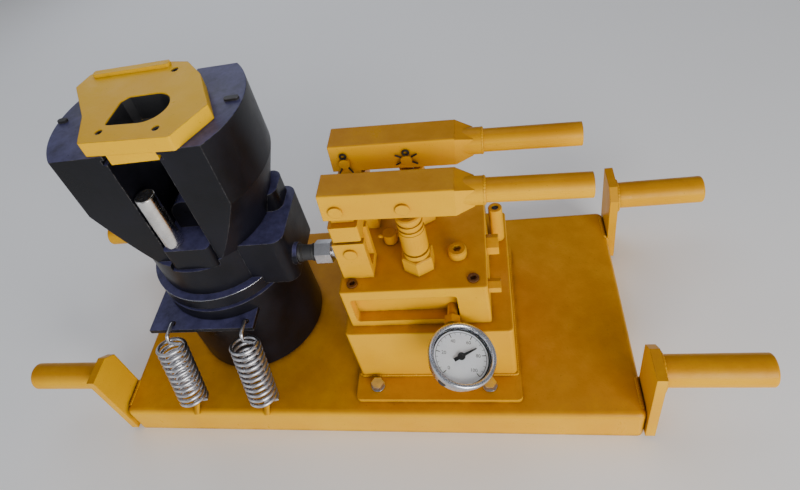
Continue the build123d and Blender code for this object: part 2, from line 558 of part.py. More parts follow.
def ram():
    """Hydraulic ram, its stem through the yoke's neck and the long head that rests in the slot."""
    rod = upright(0, 0, RAM_FOOT, RAM_TOP, RAM_R)
    rod = chamfer(rod.faces().sort_by(Axis.Z)[0].edges(), 2)
    rod += upright(0, 0, RAM_TOP - 1, SLOT_FLOOR + 1, RAM_STEM_R)
    head = box((SLOT_LOW_X + 1, -RAM_HEAD_HALF_Y, SLOT_FLOOR + ANVIL_GAP),
               (SLOT_HIGH_X - 1, RAM_HEAD_HALF_Y, RAM_HEAD_TOP))
    return Pos(HEAD_X, HEAD_Y, 0) * (rod + eased(head, Axis.Z, 6))


def bending_posts():
    """Two polished posts, near the ends of the ram's head, that carry the bar."""
    posts = []
    for side in (-1, 1):
        post = upright(HEAD_X + POST_X, HEAD_Y + side * POST_Y, RAM_HEAD_TOP, POST_TOP, POST_R)
        posts.append(chamfer(post.faces().sort_by(Axis.Z)[-1].edges(), 1))
    return Compound(posts)


def former():
    """Round-nosed former between the posts, on the ram's head."""
    block = box((FORMER_X - FORMER_R, -FORMER_HALF_Y, RAM_HEAD_TOP), (FORMER_X + FORMER_R, FORMER_HALF_Y, FORMER_AXIS_Z))
    nose = along_y(FORMER_X, FORMER_AXIS_Z, -FORMER_HALF_Y, FORMER_HALF_Y, FORMER_R)
    return Pos(HEAD_X, HEAD_Y, 0) * (block + nose)


def spring_plate():
    """Shelf welded round the front of the barrel; the springs pull on its edge."""
    plate = box((PLATE_LOW_X, PLATE_FRONT, PLATE_LOW_Z), (PLATE_HIGH_X, PLATE_BACK, PLATE_LOW_Z + PLATE_THICK))
    plate -= upright(HEAD_X, HEAD_Y, PLATE_LOW_Z - 1, PLATE_LOW_Z + PLATE_THICK + 1, BARREL_HEAD_R)
    for x in SPRING_XS.values():
        plate -= upright(x, HOOK_Y, PLATE_LOW_Z - 1, PLATE_LOW_Z + PLATE_THICK + 1, HOOK_HOLE_R)
    return plate


def port_block():
    """Oil port block on the head's pump side, stepped, with a swivel boss for the hose."""
    low = box((HEAD_X, PORT_LOW_Y, PORT_LOW_Z), (PORT_HIGH_X, PORT_HIGH_Y, PORT_HIGH_Z))
    low = eased(low, Axis.Z, 14)
    top = eased(box((HEAD_X, -8, PORT_LOW_Z), (PORT_HIGH_X - 10, PORT_HIGH_Y, PORT_HIGH_Z + 26)), Axis.Z, 12)
    block = low + top
    block -= upright(HEAD_X, HEAD_Y, PORT_LOW_Z - 1, COLLAR_TOP, BARREL_HEAD_R)
    shape = make_face(Polyline([(0, COLLAR_TOP), (NECK_R, COLLAR_TOP), (NECK_R, NECK_TOP), (CROWN_R, CROWN_LOW),
                                (0, CROWN_LOW)], close=True))
    block -= Pos(HEAD_X, HEAD_Y, 0) * revolve(Plane.XZ * shape, Axis.Z)
    block = max(block.solids(), key=lambda piece: piece.volume)
    return block + along_x(FITTING_Y, FITTING_Z, PORT_HIGH_X - 4, PORT_HIGH_X + PORT_BOSS, HOSE_R + 2.5)


def tilt_lug():
    """Lug welded to the back of the barrel, bored for the hinge pin."""
    lug = box((HEAD_X - LUG_HALF, 70, HINGE_Z - 12), (HEAD_X + LUG_HALF, HINGE_Y, HINGE_Z + 12))
    lug += along_x(HINGE_Y, HINGE_Z, HEAD_X - LUG_HALF, HEAD_X + LUG_HALF, 12)
    lug -= upright(HEAD_X, HEAD_Y, DECK_Z, HINGE_Z + 20, BARREL_HEAD_R)
    return lug - along_x(HINGE_Y, HINGE_Z, HEAD_X - 30, HEAD_X + 30, HINGE_R + HINGE_FIT)


def tilt_bracket():
    """Two cheeks on the deck that hold the hinge pin."""
    cheeks = []
    for side in (-1, 1):
        near = HEAD_X + side * (LUG_HALF + CHEEK_GAP)
        far = near + side * CHEEK_THICK
        cheek = box((min(near, far), HINGE_Y - 13, DECK_Z), (max(near, far), HINGE_Y + 13, HINGE_Z))
        cheek += along_x(HINGE_Y, HINGE_Z, min(near, far), max(near, far), 13)
        cheeks.append(cheek - along_x(HINGE_Y, HINGE_Z, HEAD_X - 60, HEAD_X + 60, HINGE_R))
    return Compound(cheeks)


def tilt_pin():
    """Hinge pin with rounded ends."""
    reach = LUG_HALF + CHEEK_GAP + CHEEK_THICK + 4
    pin = along_x(HINGE_Y, HINGE_Z, HEAD_X - reach, HEAD_X + reach, HINGE_R)
    return chamfer(pin.edges().filter_by(GeomType.CIRCLE), 1.5)


# ---------------------------------------------------------------- springs and oil line
def spring_axis():
    """Middle, lean and length of the springs' axis, in the YZ plane."""
    rise_y = SPRING_HEAD[0] - SPRING_FOOT[0]
    rise_z = SPRING_HEAD[1] - SPRING_FOOT[1]
    lean = math.degrees(math.atan2(rise_y, rise_z))
    middle = ((SPRING_HEAD[0] + SPRING_FOOT[0]) / 2, (SPRING_HEAD[1] + SPRING_FOOT[1]) / 2)
    return middle, lean, math.hypot(rise_y, rise_z)


def return_spring(x):
    """Extension spring: a helix with a straight leg to the deck peg and a hook over the plate's edge."""
    middle, lean, reach = spring_axis()
    path = Helix(SPRING_BODY / SPRING_TURNS, SPRING_BODY, SPRING_R)
    start = Plane(origin=path @ 0, z_dir=path % 0)
    coil = Pos(0, 0, -SPRING_BODY / 2) * sweep(start * Circle(SPRING_WIRE_R), path=path)
    leg_long = (reach - SPRING_BODY) / 2
    legs = []
    for end in (-1, 1):
        leg = Pos(0, 0, end * (SPRING_BODY + leg_long) / 2) * Cylinder(SPRING_WIRE_R, leg_long)
        spoke = Pos(SPRING_R / 2, 0, end * SPRING_BODY / 2) * Rot(0, 90, 0) * Cylinder(SPRING_WIRE_R, SPRING_R)
        legs.append(leg + spoke)
    spring = coil + legs[0] + legs[1]
    spring = Pos(x, middle[0], middle[1]) * Rot(-lean, 0, 0) * spring
    hook = along_y(x, SPRING_HEAD[1], SPRING_HEAD[0] - 1, HOOK_Y + HOOK_BAR_R, HOOK_BAR_R)
    return spring + hook + upright(x, HOOK_Y, PLATE_LOW_Z + 1, SPRING_HEAD[1], HOOK_BAR_R - 0.2)


def spring_hooks():
    """Two leaning pegs welded on the deck's front edge, cross-drilled for the springs' legs."""
    pegs = []
    for x in SPRING_XS.values():
        peg = rod_between(x, PEG_LOW, PEG_HIGH, PEG_R) - deck_tray()
        peg -= rod_between(x, SPRING_FOOT, SPRING_HEAD, SPRING_WIRE_R + 0.1)
        pegs.append(max(peg.solids(), key=lambda piece: piece.volume))
    return Compound(pegs)


def hex_fitting():
    """Plated hexagon nut and nipple on the pump block's end face."""
    nut = Plane(origin=(NUT_LOW_X, FITTING_Y, FITTING_Z), z_dir=(1, 0, 0)) * hexagon(NUT_AF, NUT_HIGH_X - NUT_LOW_X)
    nut += along_x(FITTING_Y, FITTING_Z, NUT_HIGH_X - 1, BLOCK_LOW_X, 8)
    return nut


def oil_hose():
    """Short black hose between the port block's boss and the nut."""
    return along_x(FITTING_Y, FITTING_Z, PORT_HIGH_X + PORT_BOSS, NUT_LOW_X, HOSE_R)


def all_nodes():
    """Every node by name."""
    nodes = {"deck_tray": deck_tray()}
    for end_name, end in (("left", -1), ("right", 1)):
        nodes[f"carry_ears_{end_name}"] = carry_ears(end)
        for side_name, side in (("front", -1), ("rear", 1)):
            nodes[f"carry_bar_{side_name}_{end_name}"] = carry_bar(side, end)
    for maker in (pump_foot, foot_bolts, tank_shell, pump_block, block_screws, block_plugs, filler_cap, release_valve,
                  suction_strainer, check_balls, plunger_barrels, gland_nuts, plunger_seals, lever_posts, post_pins,
                  gauge_case, gauge_bezel, gauge_glass, gauge_dial, gauge_pointer, gauge_stem, head_barrel,
                  head_collar, ram_seal, yoke, anvil, anvil_screws, crown_keys, ram, bending_posts, former,
                  spring_plate, port_block, tilt_lug, tilt_bracket, tilt_pin, spring_hooks, hex_fitting, oil_hose):
        nodes[maker.__name__] = maker()
    for place, y in LEVER_YS.items():
        for maker in (plunger, link, lever_arm, lever_handle, lever_pins, split_pins):
            nodes[f"{maker.__name__}_{place}"] = maker(y)
    for place, x in SPRING_XS.items():
        nodes[f"return_spring_{place}"] = return_spring(x)
    return nodes


os.makedirs("parts", exist_ok=True)
for name, shape in all_nodes().items():
    export_step(Pos(0, DECK_SHIFT, 0) * shape, f"parts/{name}.step")
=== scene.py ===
"""Looks of a rebar bender: a sprung hydraulic bending head and a two-lever hand pump on a folded carry deck.

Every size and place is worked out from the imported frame's boxes and joints, in metres, +Z up.
"""
import json
import logging
import math
import random
from dataclasses import dataclass
from enum import Enum
from typing import Sequence

import bpy
from mathutils import Matrix, Vector


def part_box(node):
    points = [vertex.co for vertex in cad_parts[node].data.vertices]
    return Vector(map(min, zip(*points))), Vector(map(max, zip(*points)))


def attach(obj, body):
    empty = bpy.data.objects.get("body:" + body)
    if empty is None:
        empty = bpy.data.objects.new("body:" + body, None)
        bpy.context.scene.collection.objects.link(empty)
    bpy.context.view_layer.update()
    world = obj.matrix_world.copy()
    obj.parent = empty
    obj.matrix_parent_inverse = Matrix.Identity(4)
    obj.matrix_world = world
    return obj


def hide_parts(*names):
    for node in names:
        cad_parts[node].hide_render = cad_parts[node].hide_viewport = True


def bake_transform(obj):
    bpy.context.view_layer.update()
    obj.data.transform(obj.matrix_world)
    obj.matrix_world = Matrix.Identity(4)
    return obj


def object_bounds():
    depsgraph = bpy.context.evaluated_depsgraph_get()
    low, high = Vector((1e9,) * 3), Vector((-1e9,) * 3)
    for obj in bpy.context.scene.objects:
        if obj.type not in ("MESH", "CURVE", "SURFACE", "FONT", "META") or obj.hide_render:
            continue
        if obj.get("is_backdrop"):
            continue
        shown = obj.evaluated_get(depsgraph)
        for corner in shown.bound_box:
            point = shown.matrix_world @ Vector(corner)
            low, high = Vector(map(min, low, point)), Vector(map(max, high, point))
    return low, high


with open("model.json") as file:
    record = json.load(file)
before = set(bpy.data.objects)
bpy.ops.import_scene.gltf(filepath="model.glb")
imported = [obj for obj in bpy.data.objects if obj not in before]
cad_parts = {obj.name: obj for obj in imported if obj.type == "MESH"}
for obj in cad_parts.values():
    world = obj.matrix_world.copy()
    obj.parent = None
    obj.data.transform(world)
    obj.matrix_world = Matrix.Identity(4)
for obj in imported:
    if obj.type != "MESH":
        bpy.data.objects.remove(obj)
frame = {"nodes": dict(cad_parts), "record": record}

LOG = logging.getLogger("rebar_bender")
MM = 0.001
Colour = tuple[float, float, float]
EDGE_SAMPLES = 6
SHARP_ANGLE = 35.0  # degrees; sharper edges aren't smoothed
MIX_FACTOR, MIX_FIRST, MIX_SECOND, MIX_RESULT = 0, 6, 7, 2  # a Mix node's colour sockets, by place


class Body(Enum):
    """The bodies that the added pieces ride on."""

    DECK = "deck"
    HEAD = "head"
    ANVIL = "anvil_slider"
    FILLER = "filler_plug"
    LINK_FRONT = "link_arm_front"
    LINK_REAR = "link_arm_rear"
    LEVER_FRONT = "lever_front"
    LEVER_REAR = "lever_rear"


class Slot(Enum):
    """The record's material slots that the added pieces use."""

    PAINT = "paint_yellow"
    OXIDE = "black_oxide"
    ZINC = "zinc_plate"
    GAUGE = "gauge_steel"
    GLASS = "gauge_glass"
    POINTER = "pointer_black"
    RUBBER = "rubber_black"


# ------------------------------------------------------------------ shaders
class ShaderSheet:
    """A material's node tree, with short calls for the nodes that the finishes share."""

    def __init__(self, name: str) -> None:
        """Start a material.

        Args:
            name: The material's name.
        """
        self.material = bpy.data.materials.new(name)
        self.material.use_nodes = True
        self.tree = self.material.node_tree
        self.skin = self.tree.nodes["Principled BSDF"]
        self.place = self.node("ShaderNodeTexCoord").outputs["Object"]

    def node(self, kind: str, **inputs: object) -> bpy.types.Node:
        """Add a node.

        Args:
            kind: The node's type name.
            inputs: Values or sockets for its inputs, by name with spaces as underscores.

        Returns:
            The new node.
        """
        made = self.tree.nodes.new(kind)
        for name, value in inputs.items():
            self.feed(made.inputs[name.replace("_", " ")], value)
        return made

    def feed(self, socket: bpy.types.NodeSocket, value: object) -> None:
        """Link a socket's output to `socket`, or set it to a plain value.

        Args:
            socket: The input to feed.
            value: An output socket, a number or a colour.
        """
        if isinstance(value, bpy.types.NodeSocket):
            self.tree.links.new(value, socket)
        elif isinstance(value, tuple) and len(value) == 3 and socket.type == "RGBA":
            socket.default_value = (*value, 1.0)
        else:
            socket.default_value = value

    def stretched(self, scale: Colour) -> bpy.types.NodeSocket:
        """Object coordinates, scaled along each axis.

        Args:
            scale: The scale along x, y and z.

        Returns:
            The scaled coordinates.
        """
        mapping = self.node("ShaderNodeMapping", Vector=self.place)
        mapping.inputs["Scale"].default_value = scale
        return mapping.outputs["Vector"]

    def noise(self, scale: float, detail: float = 4.0, rough: float = 0.55,
              stretch: Colour = (1.0, 1.0, 1.0)) -> bpy.types.NodeSocket:
        """Fractal noise over the piece.

        Args:
            scale: Cells in a metre.
            detail: Octaves.
            rough: How strong the fine octaves are.
            stretch: Scale along each axis.

        Returns:
            The noise value, 0 to 1.
        """
        place = self.place if stretch == (1.0, 1.0, 1.0) else self.stretched(stretch)
        return self.node("ShaderNodeTexNoise", Vector=place, Scale=scale, Detail=detail,
                         Roughness=rough).outputs["Fac"]

    def range(self, value: bpy.types.NodeSocket, low: float, high: float, to_low: float = 0.0,
              to_high: float = 1.0) -> bpy.types.NodeSocket:
        """Map low..high to to_low..to_high, clamped.

        Args:
            value: The value to map.
            low: Input that gives to_low.
            high: Input that gives to_high.
            to_low: Result at low.
            to_high: Result at high.

        Returns:
            The mapped value.
        """
        mapped = self.node("ShaderNodeMapRange", Value=value, From_Min=low, From_Max=high, To_Min=to_low,
                           To_Max=to_high)
        return mapped.outputs["Result"]

    def maths(self, operation: str, first: object, second: object) -> bpy.types.NodeSocket:
        """A Math node's result.

        Args:
            operation: The node's operation.
            first: A value or socket.
            second: A value or socket.

        Returns:
            The result.
        """
        made = self.node("ShaderNodeMath")
        made.operation = operation
        self.feed(made.inputs[0], first)
        self.feed(made.inputs[1], second)
        return made.outputs[0]

    def mixed(self, factor: object, first: object, second: object) -> bpy.types.NodeSocket:
        """Blend two colours.

        Args:
            factor: 0 for the first colour, 1 for the second.
            first: A colour or socket.
            second: A colour or socket.

        Returns:
            The blended colour.
        """
        made = self.node("ShaderNodeMix")
        made.data_type = "RGBA"
        self.feed(made.inputs[MIX_FACTOR], factor)
        self.feed(made.inputs[MIX_FIRST], first)
        self.feed(made.inputs[MIX_SECOND], second)
        return made.outputs[MIX_RESULT]

    def rounded(self, radius: float) -> bpy.types.NodeSocket:
        """Normals as if every edge were rounded.

        Args:
            radius: The edges' radius, in metres.

        Returns:
            The rounded normals.
        """
        bevel = self.node("ShaderNodeBevel", Radius=radius)
        bevel.samples = EDGE_SAMPLES
        return bevel.outputs["Normal"]

    def edges(self, radius: float) -> bpy.types.NodeSocket:
        """A mask of the edges.

        Args:
            radius: How far it reaches from an edge, in metres.

        Returns:
            0 on flats, near 1 along edges.
        """
        dot = self.node("ShaderNodeVectorMath")
        dot.operation = "DOT_PRODUCT"
        self.feed(dot.inputs[0], self.rounded(radius))
        self.feed(dot.inputs[1], self.node("ShaderNodeNewGeometry").outputs["Normal"])
        return self.range(dot.outputs["Value"], 0.99, 0.80)

    def hollows(self, reach: float) -> bpy.types.NodeSocket:
        """A mask of corners and joints, for the painted shade that darkens them.

        Args:
            reach: How wide it is, in metres.

        Returns:
            0 on open faces, near 1 in corners.
        """
        shade = self.node("ShaderNodeAmbientOcclusion", Distance=reach)
        shade.samples = EDGE_SAMPLES
        return self.range(shade.outputs["AO"], 0.85, 0.25)

    def upward(self) -> bpy.types.NodeSocket:
        """A mask of faces that look up, where the finishes paint shade on enamel and a reflection on black
        steel.

        Returns:
            0 on upright faces, 1 on level ones.
        """
        parts = self.node("ShaderNodeSeparateXYZ",
                          Vector=self.node("ShaderNodeNewGeometry").outputs["Normal"])
        return self.range(parts.outputs["Z"], 0.45, 0.92)

    def relief(self, height: bpy.types.NodeSocket, depth: float,
               under: bpy.types.NodeSocket | None = None) -> bpy.types.NodeSocket:
        """Normals of a bumpy skin.

        Args:
            height: The relief, 0 to 1.
            depth: How deep it is, in metres.
            under: Normals that it lies on.

        Returns:
            The bent normals.
        """
        bump = self.node("ShaderNodeBump", Height=height, Distance=depth, Strength=1.0)
        if under is not None:
            self.feed(bump.inputs["Normal"], under)
        return bump.outputs["Normal"]

    def done(self, colour: object, rough: object, normal: object = None,
             **plain: object) -> bpy.types.Material:
        """Join the result to the skin shader.

        Args:
            colour: Base colour or socket.
            rough: Roughness or socket.
            normal: Normals, if the skin has relief.
            plain: Uniform values for other sockets, by name.

        Returns:
            The finished material.
        """
        self.feed(self.skin.inputs["Base Color"], colour)
        self.feed(self.skin.inputs["Roughness"], rough)
        if normal is not None:
            self.feed(self.skin.inputs["Normal"], normal)
        for name, value in plain.items():
            self.skin.inputs[name.replace("_", " ")].default_value = value
        return self.material


@dataclass(frozen=True)
class MachinePaint:
    """Brushed-on gloss enamel: orange peel, painted shade on upward faces and in corners, dirt specks, and
    chips along edges.
    """

    name: str
    colour: Colour = (0.86, 0.45, 0.0)
    deep: Colour = (0.76, 0.35, 0.0)
    # painted shade colour for the upward faces
    painted_top_shade: Colour = (0.36, 0.125, 0.0)
    # colour of the dirt specks and of the painted shade in corners
    dirt_and_shade: Colour = (0.075, 0.028, 0.006)
    chip: Colour = (0.16, 0.09, 0.045)
    edge_round: float = 1.3 * MM
    wear: float = 0.5
    # how much painted shade the upward faces get
    top_shade_share: float = 0.75

    def build(self) -> bpy.types.Material:
        """Make the material.

        Returns:
            The finished material.
        """
        sheet = ShaderSheet(self.name)
        patches = sheet.noise(9.0, 5.0)
        streaks = sheet.noise(40.0, 6.0, 0.65, (1.0, 1.0, 0.35))
        base = sheet.mixed(sheet.range(patches, 0.35, 0.75), self.colour, self.deep)
        # Painted shade: upward faces darkened towards the painted top shade colour, streaked by noise.
        top_shade_share = sheet.maths("MULTIPLY", sheet.upward(),
                           sheet.range(streaks, 0.25, 0.6, 0.75 * self.top_shade_share, self.top_shade_share))
        base = sheet.mixed(top_shade_share, base, self.painted_top_shade)
        speck = sheet.range(sheet.noise(420.0, 3.0, 0.7), 0.66, 0.74, 0.0, 0.55)
        base = sheet.mixed(speck, base, self.dirt_and_shade)
        # Painted shade: corners and joints darkened by ambient occlusion, streaked by noise.
        corner = sheet.maths("MULTIPLY", sheet.hollows(9 * MM), sheet.range(streaks, 0.3, 0.6, 0.15, 0.75))
        base = sheet.mixed(corner, base, self.dirt_and_shade)
        ragged = sheet.range(sheet.noise(150.0, 6.0, 0.7), 0.50, 0.62)
        worn = sheet.maths("MULTIPLY", sheet.maths("MULTIPLY", sheet.edges(1.6 * MM), ragged), self.wear)
        base = sheet.mixed(worn, base, self.chip)
        peel = sheet.maths("ADD", sheet.maths("MULTIPLY", sheet.noise(300.0, 2.0), 0.7),
                           sheet.maths("MULTIPLY", sheet.noise(45.0, 3.0), 1.2))
        rough = sheet.range(streaks, 0.3, 0.7, 0.26, 0.46)
        normal = sheet.relief(peel, 0.22 * MM, sheet.rounded(self.edge_round))
        return sheet.done(base, rough, normal, Specular_IOR_Level=0.16)


@dataclass(frozen=True)
class OiledBlack:
    """Blackened forged steel with an oily sheen, scratches, bare bright edges and a painted blue-grey
    reflection on upward faces.
    """

    name: str
    colour: Colour = (0.0035, 0.0035, 0.005)
    sheen: Colour = (0.008, 0.008, 0.013)
    # painted reflection colour for the upward faces
    painted_top_reflection: Colour = (0.080, 0.078, 0.185)
    bare: Colour = (0.20, 0.19, 0.19)
    edge_round: float = 1.6 * MM
    grain: float = 0.10 * MM

    def build(self) -> bpy.types.Material:
        """Make the material.

        Returns:
            The finished material.
        """
        sheet = ShaderSheet(self.name)
        cloud = sheet.noise(14.0, 6.0, 0.6)
        base = sheet.mixed(sheet.range(cloud, 0.38, 0.66), self.colour, self.sheen)
        scuff = sheet.range(sheet.noise(90.0, 8.0, 0.75, (1.0, 1.0, 0.12)), 0.60, 0.72, 0.0, 0.35)
        base = sheet.mixed(scuff, base, self.sheen)
        ragged = sheet.range(sheet.noise(120.0, 6.0, 0.7), 0.42, 0.62)
        worn = sheet.maths("MULTIPLY", sheet.maths("MULTIPLY", sheet.edges(1.8 * MM), ragged), 0.75)
        base = sheet.mixed(worn, base, self.bare)
        # Painted reflection: upward faces lightened towards the reflection colour, mottled by noise.
        mottle = sheet.range(sheet.noise(55.0, 6.0, 0.7), 0.30, 0.62, 0.35, 0.95)
        base = sheet.mixed(sheet.maths("MULTIPLY", sheet.upward(), mottle), base, self.painted_top_reflection)
        rough = sheet.range(cloud, 0.3, 0.7, 0.24, 0.50)
        normal = sheet.relief(sheet.noise(260.0, 5.0, 0.65), self.grain, sheet.rounded(self.edge_round))
        return sheet.done(base, rough, normal, Specular_IOR_Level=0.22)


@dataclass(frozen=True)
class BareMetal:
    """Metal with a turned, ground or plated grain, and painted shade in its corners."""

    name: str
    colour: Colour
    dull: Colour
    rough_low: float
    rough_high: float
    lines: Colour = (1.0, 1.0, 30.0)
    depth: float = 0.02 * MM
    edge_round: float = 0.7 * MM
    # painted shade colour for corners
    painted_corner_shade: Colour = (0.05, 0.045, 0.04)

    def build(self) -> bpy.types.Material:
        """Make the material.

        Returns:
            The finished material.
        """
        sheet = ShaderSheet(self.name)
        cloud = sheet.noise(60.0, 5.0, 0.6)
        fine = sheet.noise(60.0, 4.0, 0.6, self.lines)
        base = sheet.mixed(sheet.range(cloud, 0.45, 0.72, 0.0, 0.8), self.colour, self.dull)
        # Painted shade: corners darkened by ambient occlusion.
        painted_corner_shade = sheet.maths("MULTIPLY", sheet.hollows(3 * MM), 0.6)
        base = sheet.mixed(painted_corner_shade, base, self.painted_corner_shade)
        rough = sheet.range(fine, 0.3, 0.7, self.rough_low, self.rough_high)
        normal = sheet.relief(fine, self.depth, sheet.rounded(self.edge_round))
        return sheet.done(base, rough, normal, Metallic=1.0)


@dataclass(frozen=True)
class MouldedRubber:
    """Oil-stained black rubber."""

    name: str
    colour: Colour = (0.016, 0.016, 0.017)
    dusty: Colour = (0.035, 0.035, 0.036)

    def build(self) -> bpy.types.Material:
        """Make the material.

        Returns:
            The finished material.
        """
        sheet = ShaderSheet(self.name)
        base = sheet.mixed(sheet.noise(70.0), self.colour, self.dusty)
        normal = sheet.relief(sheet.noise(900.0, 3.0), 0.05 * MM)
        return sheet.done(base, sheet.range(sheet.noise(30.0), 0.3, 0.7, 0.45, 0.7), normal)


@dataclass(frozen=True)
class PrintedDial:
    """Matt white printed metal with a faint bluish cast and a few stains."""

    name: str
    colour: Colour = (0.94, 0.94, 0.97)
    stained: Colour = (0.74, 0.75, 0.80)

    def build(self) -> bpy.types.Material:
        """Make the material.

        Returns:
            The finished material.
        """
        sheet = ShaderSheet(self.name)
        stain = sheet.range(sheet.noise(80.0, 5.0, 0.6), 0.55, 0.75, 0.0, 0.35)
        base = sheet.mixed(stain, self.colour, self.stained)
        normal = sheet.relief(sheet.noise(1500.0, 2.0), 0.01 * MM)
        return sheet.done(base, sheet.range(sheet.noise(200.0), 0.3, 0.7, 0.5, 0.65), normal)


@dataclass(frozen=True)
class Ink:
    """Black ink and enamel on the dial and the pointer, also used as painted shade on the hand hole's wall.
    """

    name: str
    colour: Colour = (0.012, 0.012, 0.014)

    def build(self) -> bpy.types.Material:
        """Make the material.

        Returns:
            The finished material.
        """
        sheet = ShaderSheet(self.name)
        base = sheet.mixed(sheet.noise(500.0, 3.0), self.colour, tuple(2.2 * part for part in self.colour))
        return sheet.done(base, sheet.range(sheet.noise(700.0), 0.3, 0.7, 0.42, 0.6))


@dataclass(frozen=True)
class ClearGlass:
    """Thin glass with faint smears."""

    name: str

    def build(self) -> bpy.types.Material:
        """Make the material.

        Returns:
            The finished material.
        """
        sheet = ShaderSheet(self.name)
        smear = sheet.range(sheet.noise(50.0, 6.0, 0.7, (1.0, 3.0, 1.0)), 0.55, 0.8, 0.02, 0.14)
        base = sheet.mixed(sheet.noise(20.0), (0.97, 0.985, 0.99), (0.93, 0.96, 0.97))
        return sheet.done(base, smear, Transmission_Weight=1.0, IOR=1.12)


@dataclass(frozen=True)
class Finishes:
    """Every finish, made once."""

    paint: bpy.types.Material
    lever_paint: bpy.types.Material
    anvil_paint: bpy.types.Material
    oxide: bpy.types.Material
    dark_bolts: bpy.types.Material
    rusty_bolts: bpy.types.Material
    polished: bpy.types.Material
    zinc: bpy.types.Material
    stainless: bpy.types.Material
    rubber: bpy.types.Material
    dial: bpy.types.Material
    ink_and_shade: bpy.types.Material
    glass: bpy.types.Material

    @staticmethod
    def mixed() -> "Finishes":
        """Mix every finish.

        Returns:
            The set of materials.
        """
        return Finishes(
            paint=MachinePaint("deck_enamel").build(),
            lever_paint=MachinePaint("lever_enamel", wear=0.7).build(),
            anvil_paint=MachinePaint("anvil_enamel", colour=(0.90, 0.52, 0.0), deep=(0.84, 0.44, 0.0),
                                     wear=0.5, top_shade_share=0.15).build(),
            oxide=OiledBlack("forged_black").build(),
            dark_bolts=OiledBlack("screw_black", colour=(0.014, 0.013, 0.013), sheen=(0.03, 0.03, 0.035),
                                  painted_top_reflection=(0.02, 0.018, 0.022), edge_round=0.5 * MM, grain=0.03 * MM).build(),
            rusty_bolts=OiledBlack("screw_rusty", colour=(0.085, 0.028, 0.006), sheen=(0.20, 0.075, 0.018),
                                   painted_top_reflection=(0.11, 0.040, 0.009), bare=(0.30, 0.20, 0.12), edge_round=0.5 * MM,
                                   grain=0.08 * MM).build(),
            polished=BareMetal("ground_steel", (0.78, 0.76, 0.73), (0.52, 0.50, 0.47), 0.14, 0.30).build(),
            zinc=BareMetal("zinc_plate", (0.64, 0.64, 0.67), (0.40, 0.40, 0.42), 0.20, 0.42,
                           (1.0, 1.0, 1.0)).build(),
            stainless=BareMetal("stainless", (0.62, 0.64, 0.70), (0.42, 0.43, 0.47), 0.18, 0.34,
                                (12.0, 12.0, 12.0)).build(),
            rubber=MouldedRubber("black_rubber").build(),
            dial=PrintedDial("dial_print").build(),
            ink_and_shade=Ink("black_ink_and_painted_shade").build(),
            glass=ClearGlass("gauge_glass_clear").build(),
        )


# ------------------------------------------------------------------ mesh helpers
def new_piece(name: str, points: Sequence[Vector], faces: Sequence[Sequence[int]],
              finish: bpy.types.Material, slot: Slot, body: Body | None) -> bpy.types.Object:
    """Make a mesh piece that rides on a body.

    Args:
        name: The piece's name.
        points: Vertices, in metres.
        faces: Faces as vertex numbers.
        finish: Its material.
        slot: The record's slot that the finish stands for; not used.
        body: The body that it rides on, or None when it rides on none.

    Returns:
        The new object.
    """
    mesh = bpy.data.meshes.new(name)
    mesh.from_pydata([tuple(point) for point in points], [], [tuple(face) for face in faces])
    mesh.validate()
    mesh.update()
    mesh.shade_smooth()
    mesh.set_sharp_from_angle(angle=math.radians(SHARP_ANGLE))
    mesh.materials.append(finish)
    piece = bpy.data.objects.new(name, mesh)
    bpy.context.scene.collection.objects.link(piece)
    if body is not None:
        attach(piece, body.value)
    return piece


def tube_mesh(path: Sequence[Vector], radii: Sequence[float], sides: int = 14) -> tuple[list, list]:
    """Points and faces of a closed tube along a path.

    Args:
        path: The tube's middle line.
        radii: Its radius at each point.
        sides: Points round it.

    Returns:
        Vertices and faces.
    """
    points, faces = [], []
    along = (path[1] - path[0]).normalized()
    across = along.orthogonal().normalized()
    for index, centre in enumerate(path):
        before, after = path[max(index - 1, 0)], path[min(index + 1, len(path) - 1)]
        turned = (after - before).normalized()
        across = (along.rotation_difference(turned) @ across).normalized()
        along = turned
        other = along.cross(across)
        for step in range(sides):
            angle = 2 * math.pi * step / sides
            points.append(centre + radii[index] * (math.cos(angle) * across + math.sin(angle) * other))
    for index in range(len(path) - 1):
        for step in range(sides):
            near, far = index * sides + step, index * sides + (step + 1) % sides
            faces.append((near, far, far + sides, near + sides))
    faces.append(tuple(range(sides))[::-1])
    last = (len(path) - 1) * sides
    faces.append(tuple(range(last, last + sides)))
    return points, faces


def lathe_mesh(profile: Sequence[tuple[float, float]], place: Matrix, steps: int = 72) -> tuple[list, list]:
    """Points and faces of a closed turned solid.

    Args:
        profile: Radius and height pairs of its closed outline.
        place: Matrix whose Z axis is the turning axis.
        steps: Steps round it.

    Returns:
        Vertices and faces.
    """
    count = len(profile)
    points, faces = [], []
    for step in range(steps):
        angle = 2 * math.pi * step / steps
        for radius, height in profile:
            points.append(place @ Vector((radius * math.cos(angle), radius * math.sin(angle), height)))
    for step in range(steps):
        after = (step + 1) % steps
        for index in range(count):
            follow = (index + 1) % count
            faces.append((step * count + index, after * count + index, after * count + follow,
                          step * count + follow))
    return points, faces


def facing(origin: Vector, axis: Vector) -> Matrix:
    """A placement whose X axis stays level.

    Args:
        origin: Where it stands.
        axis: Its Z axis, of length one.

    Returns:
        The placement's matrix.
    """
    level = Vector((1.0, 0.0, 0.0)) if abs(axis.x) < 0.9 else Vector((0.0, 1.0, 0.0))
    across = (level - axis * level.dot(axis)).normalized()
    up = axis.cross(across)
    return Matrix.Translation(origin) @ Matrix((across, up, axis)).transposed().to_4x4()


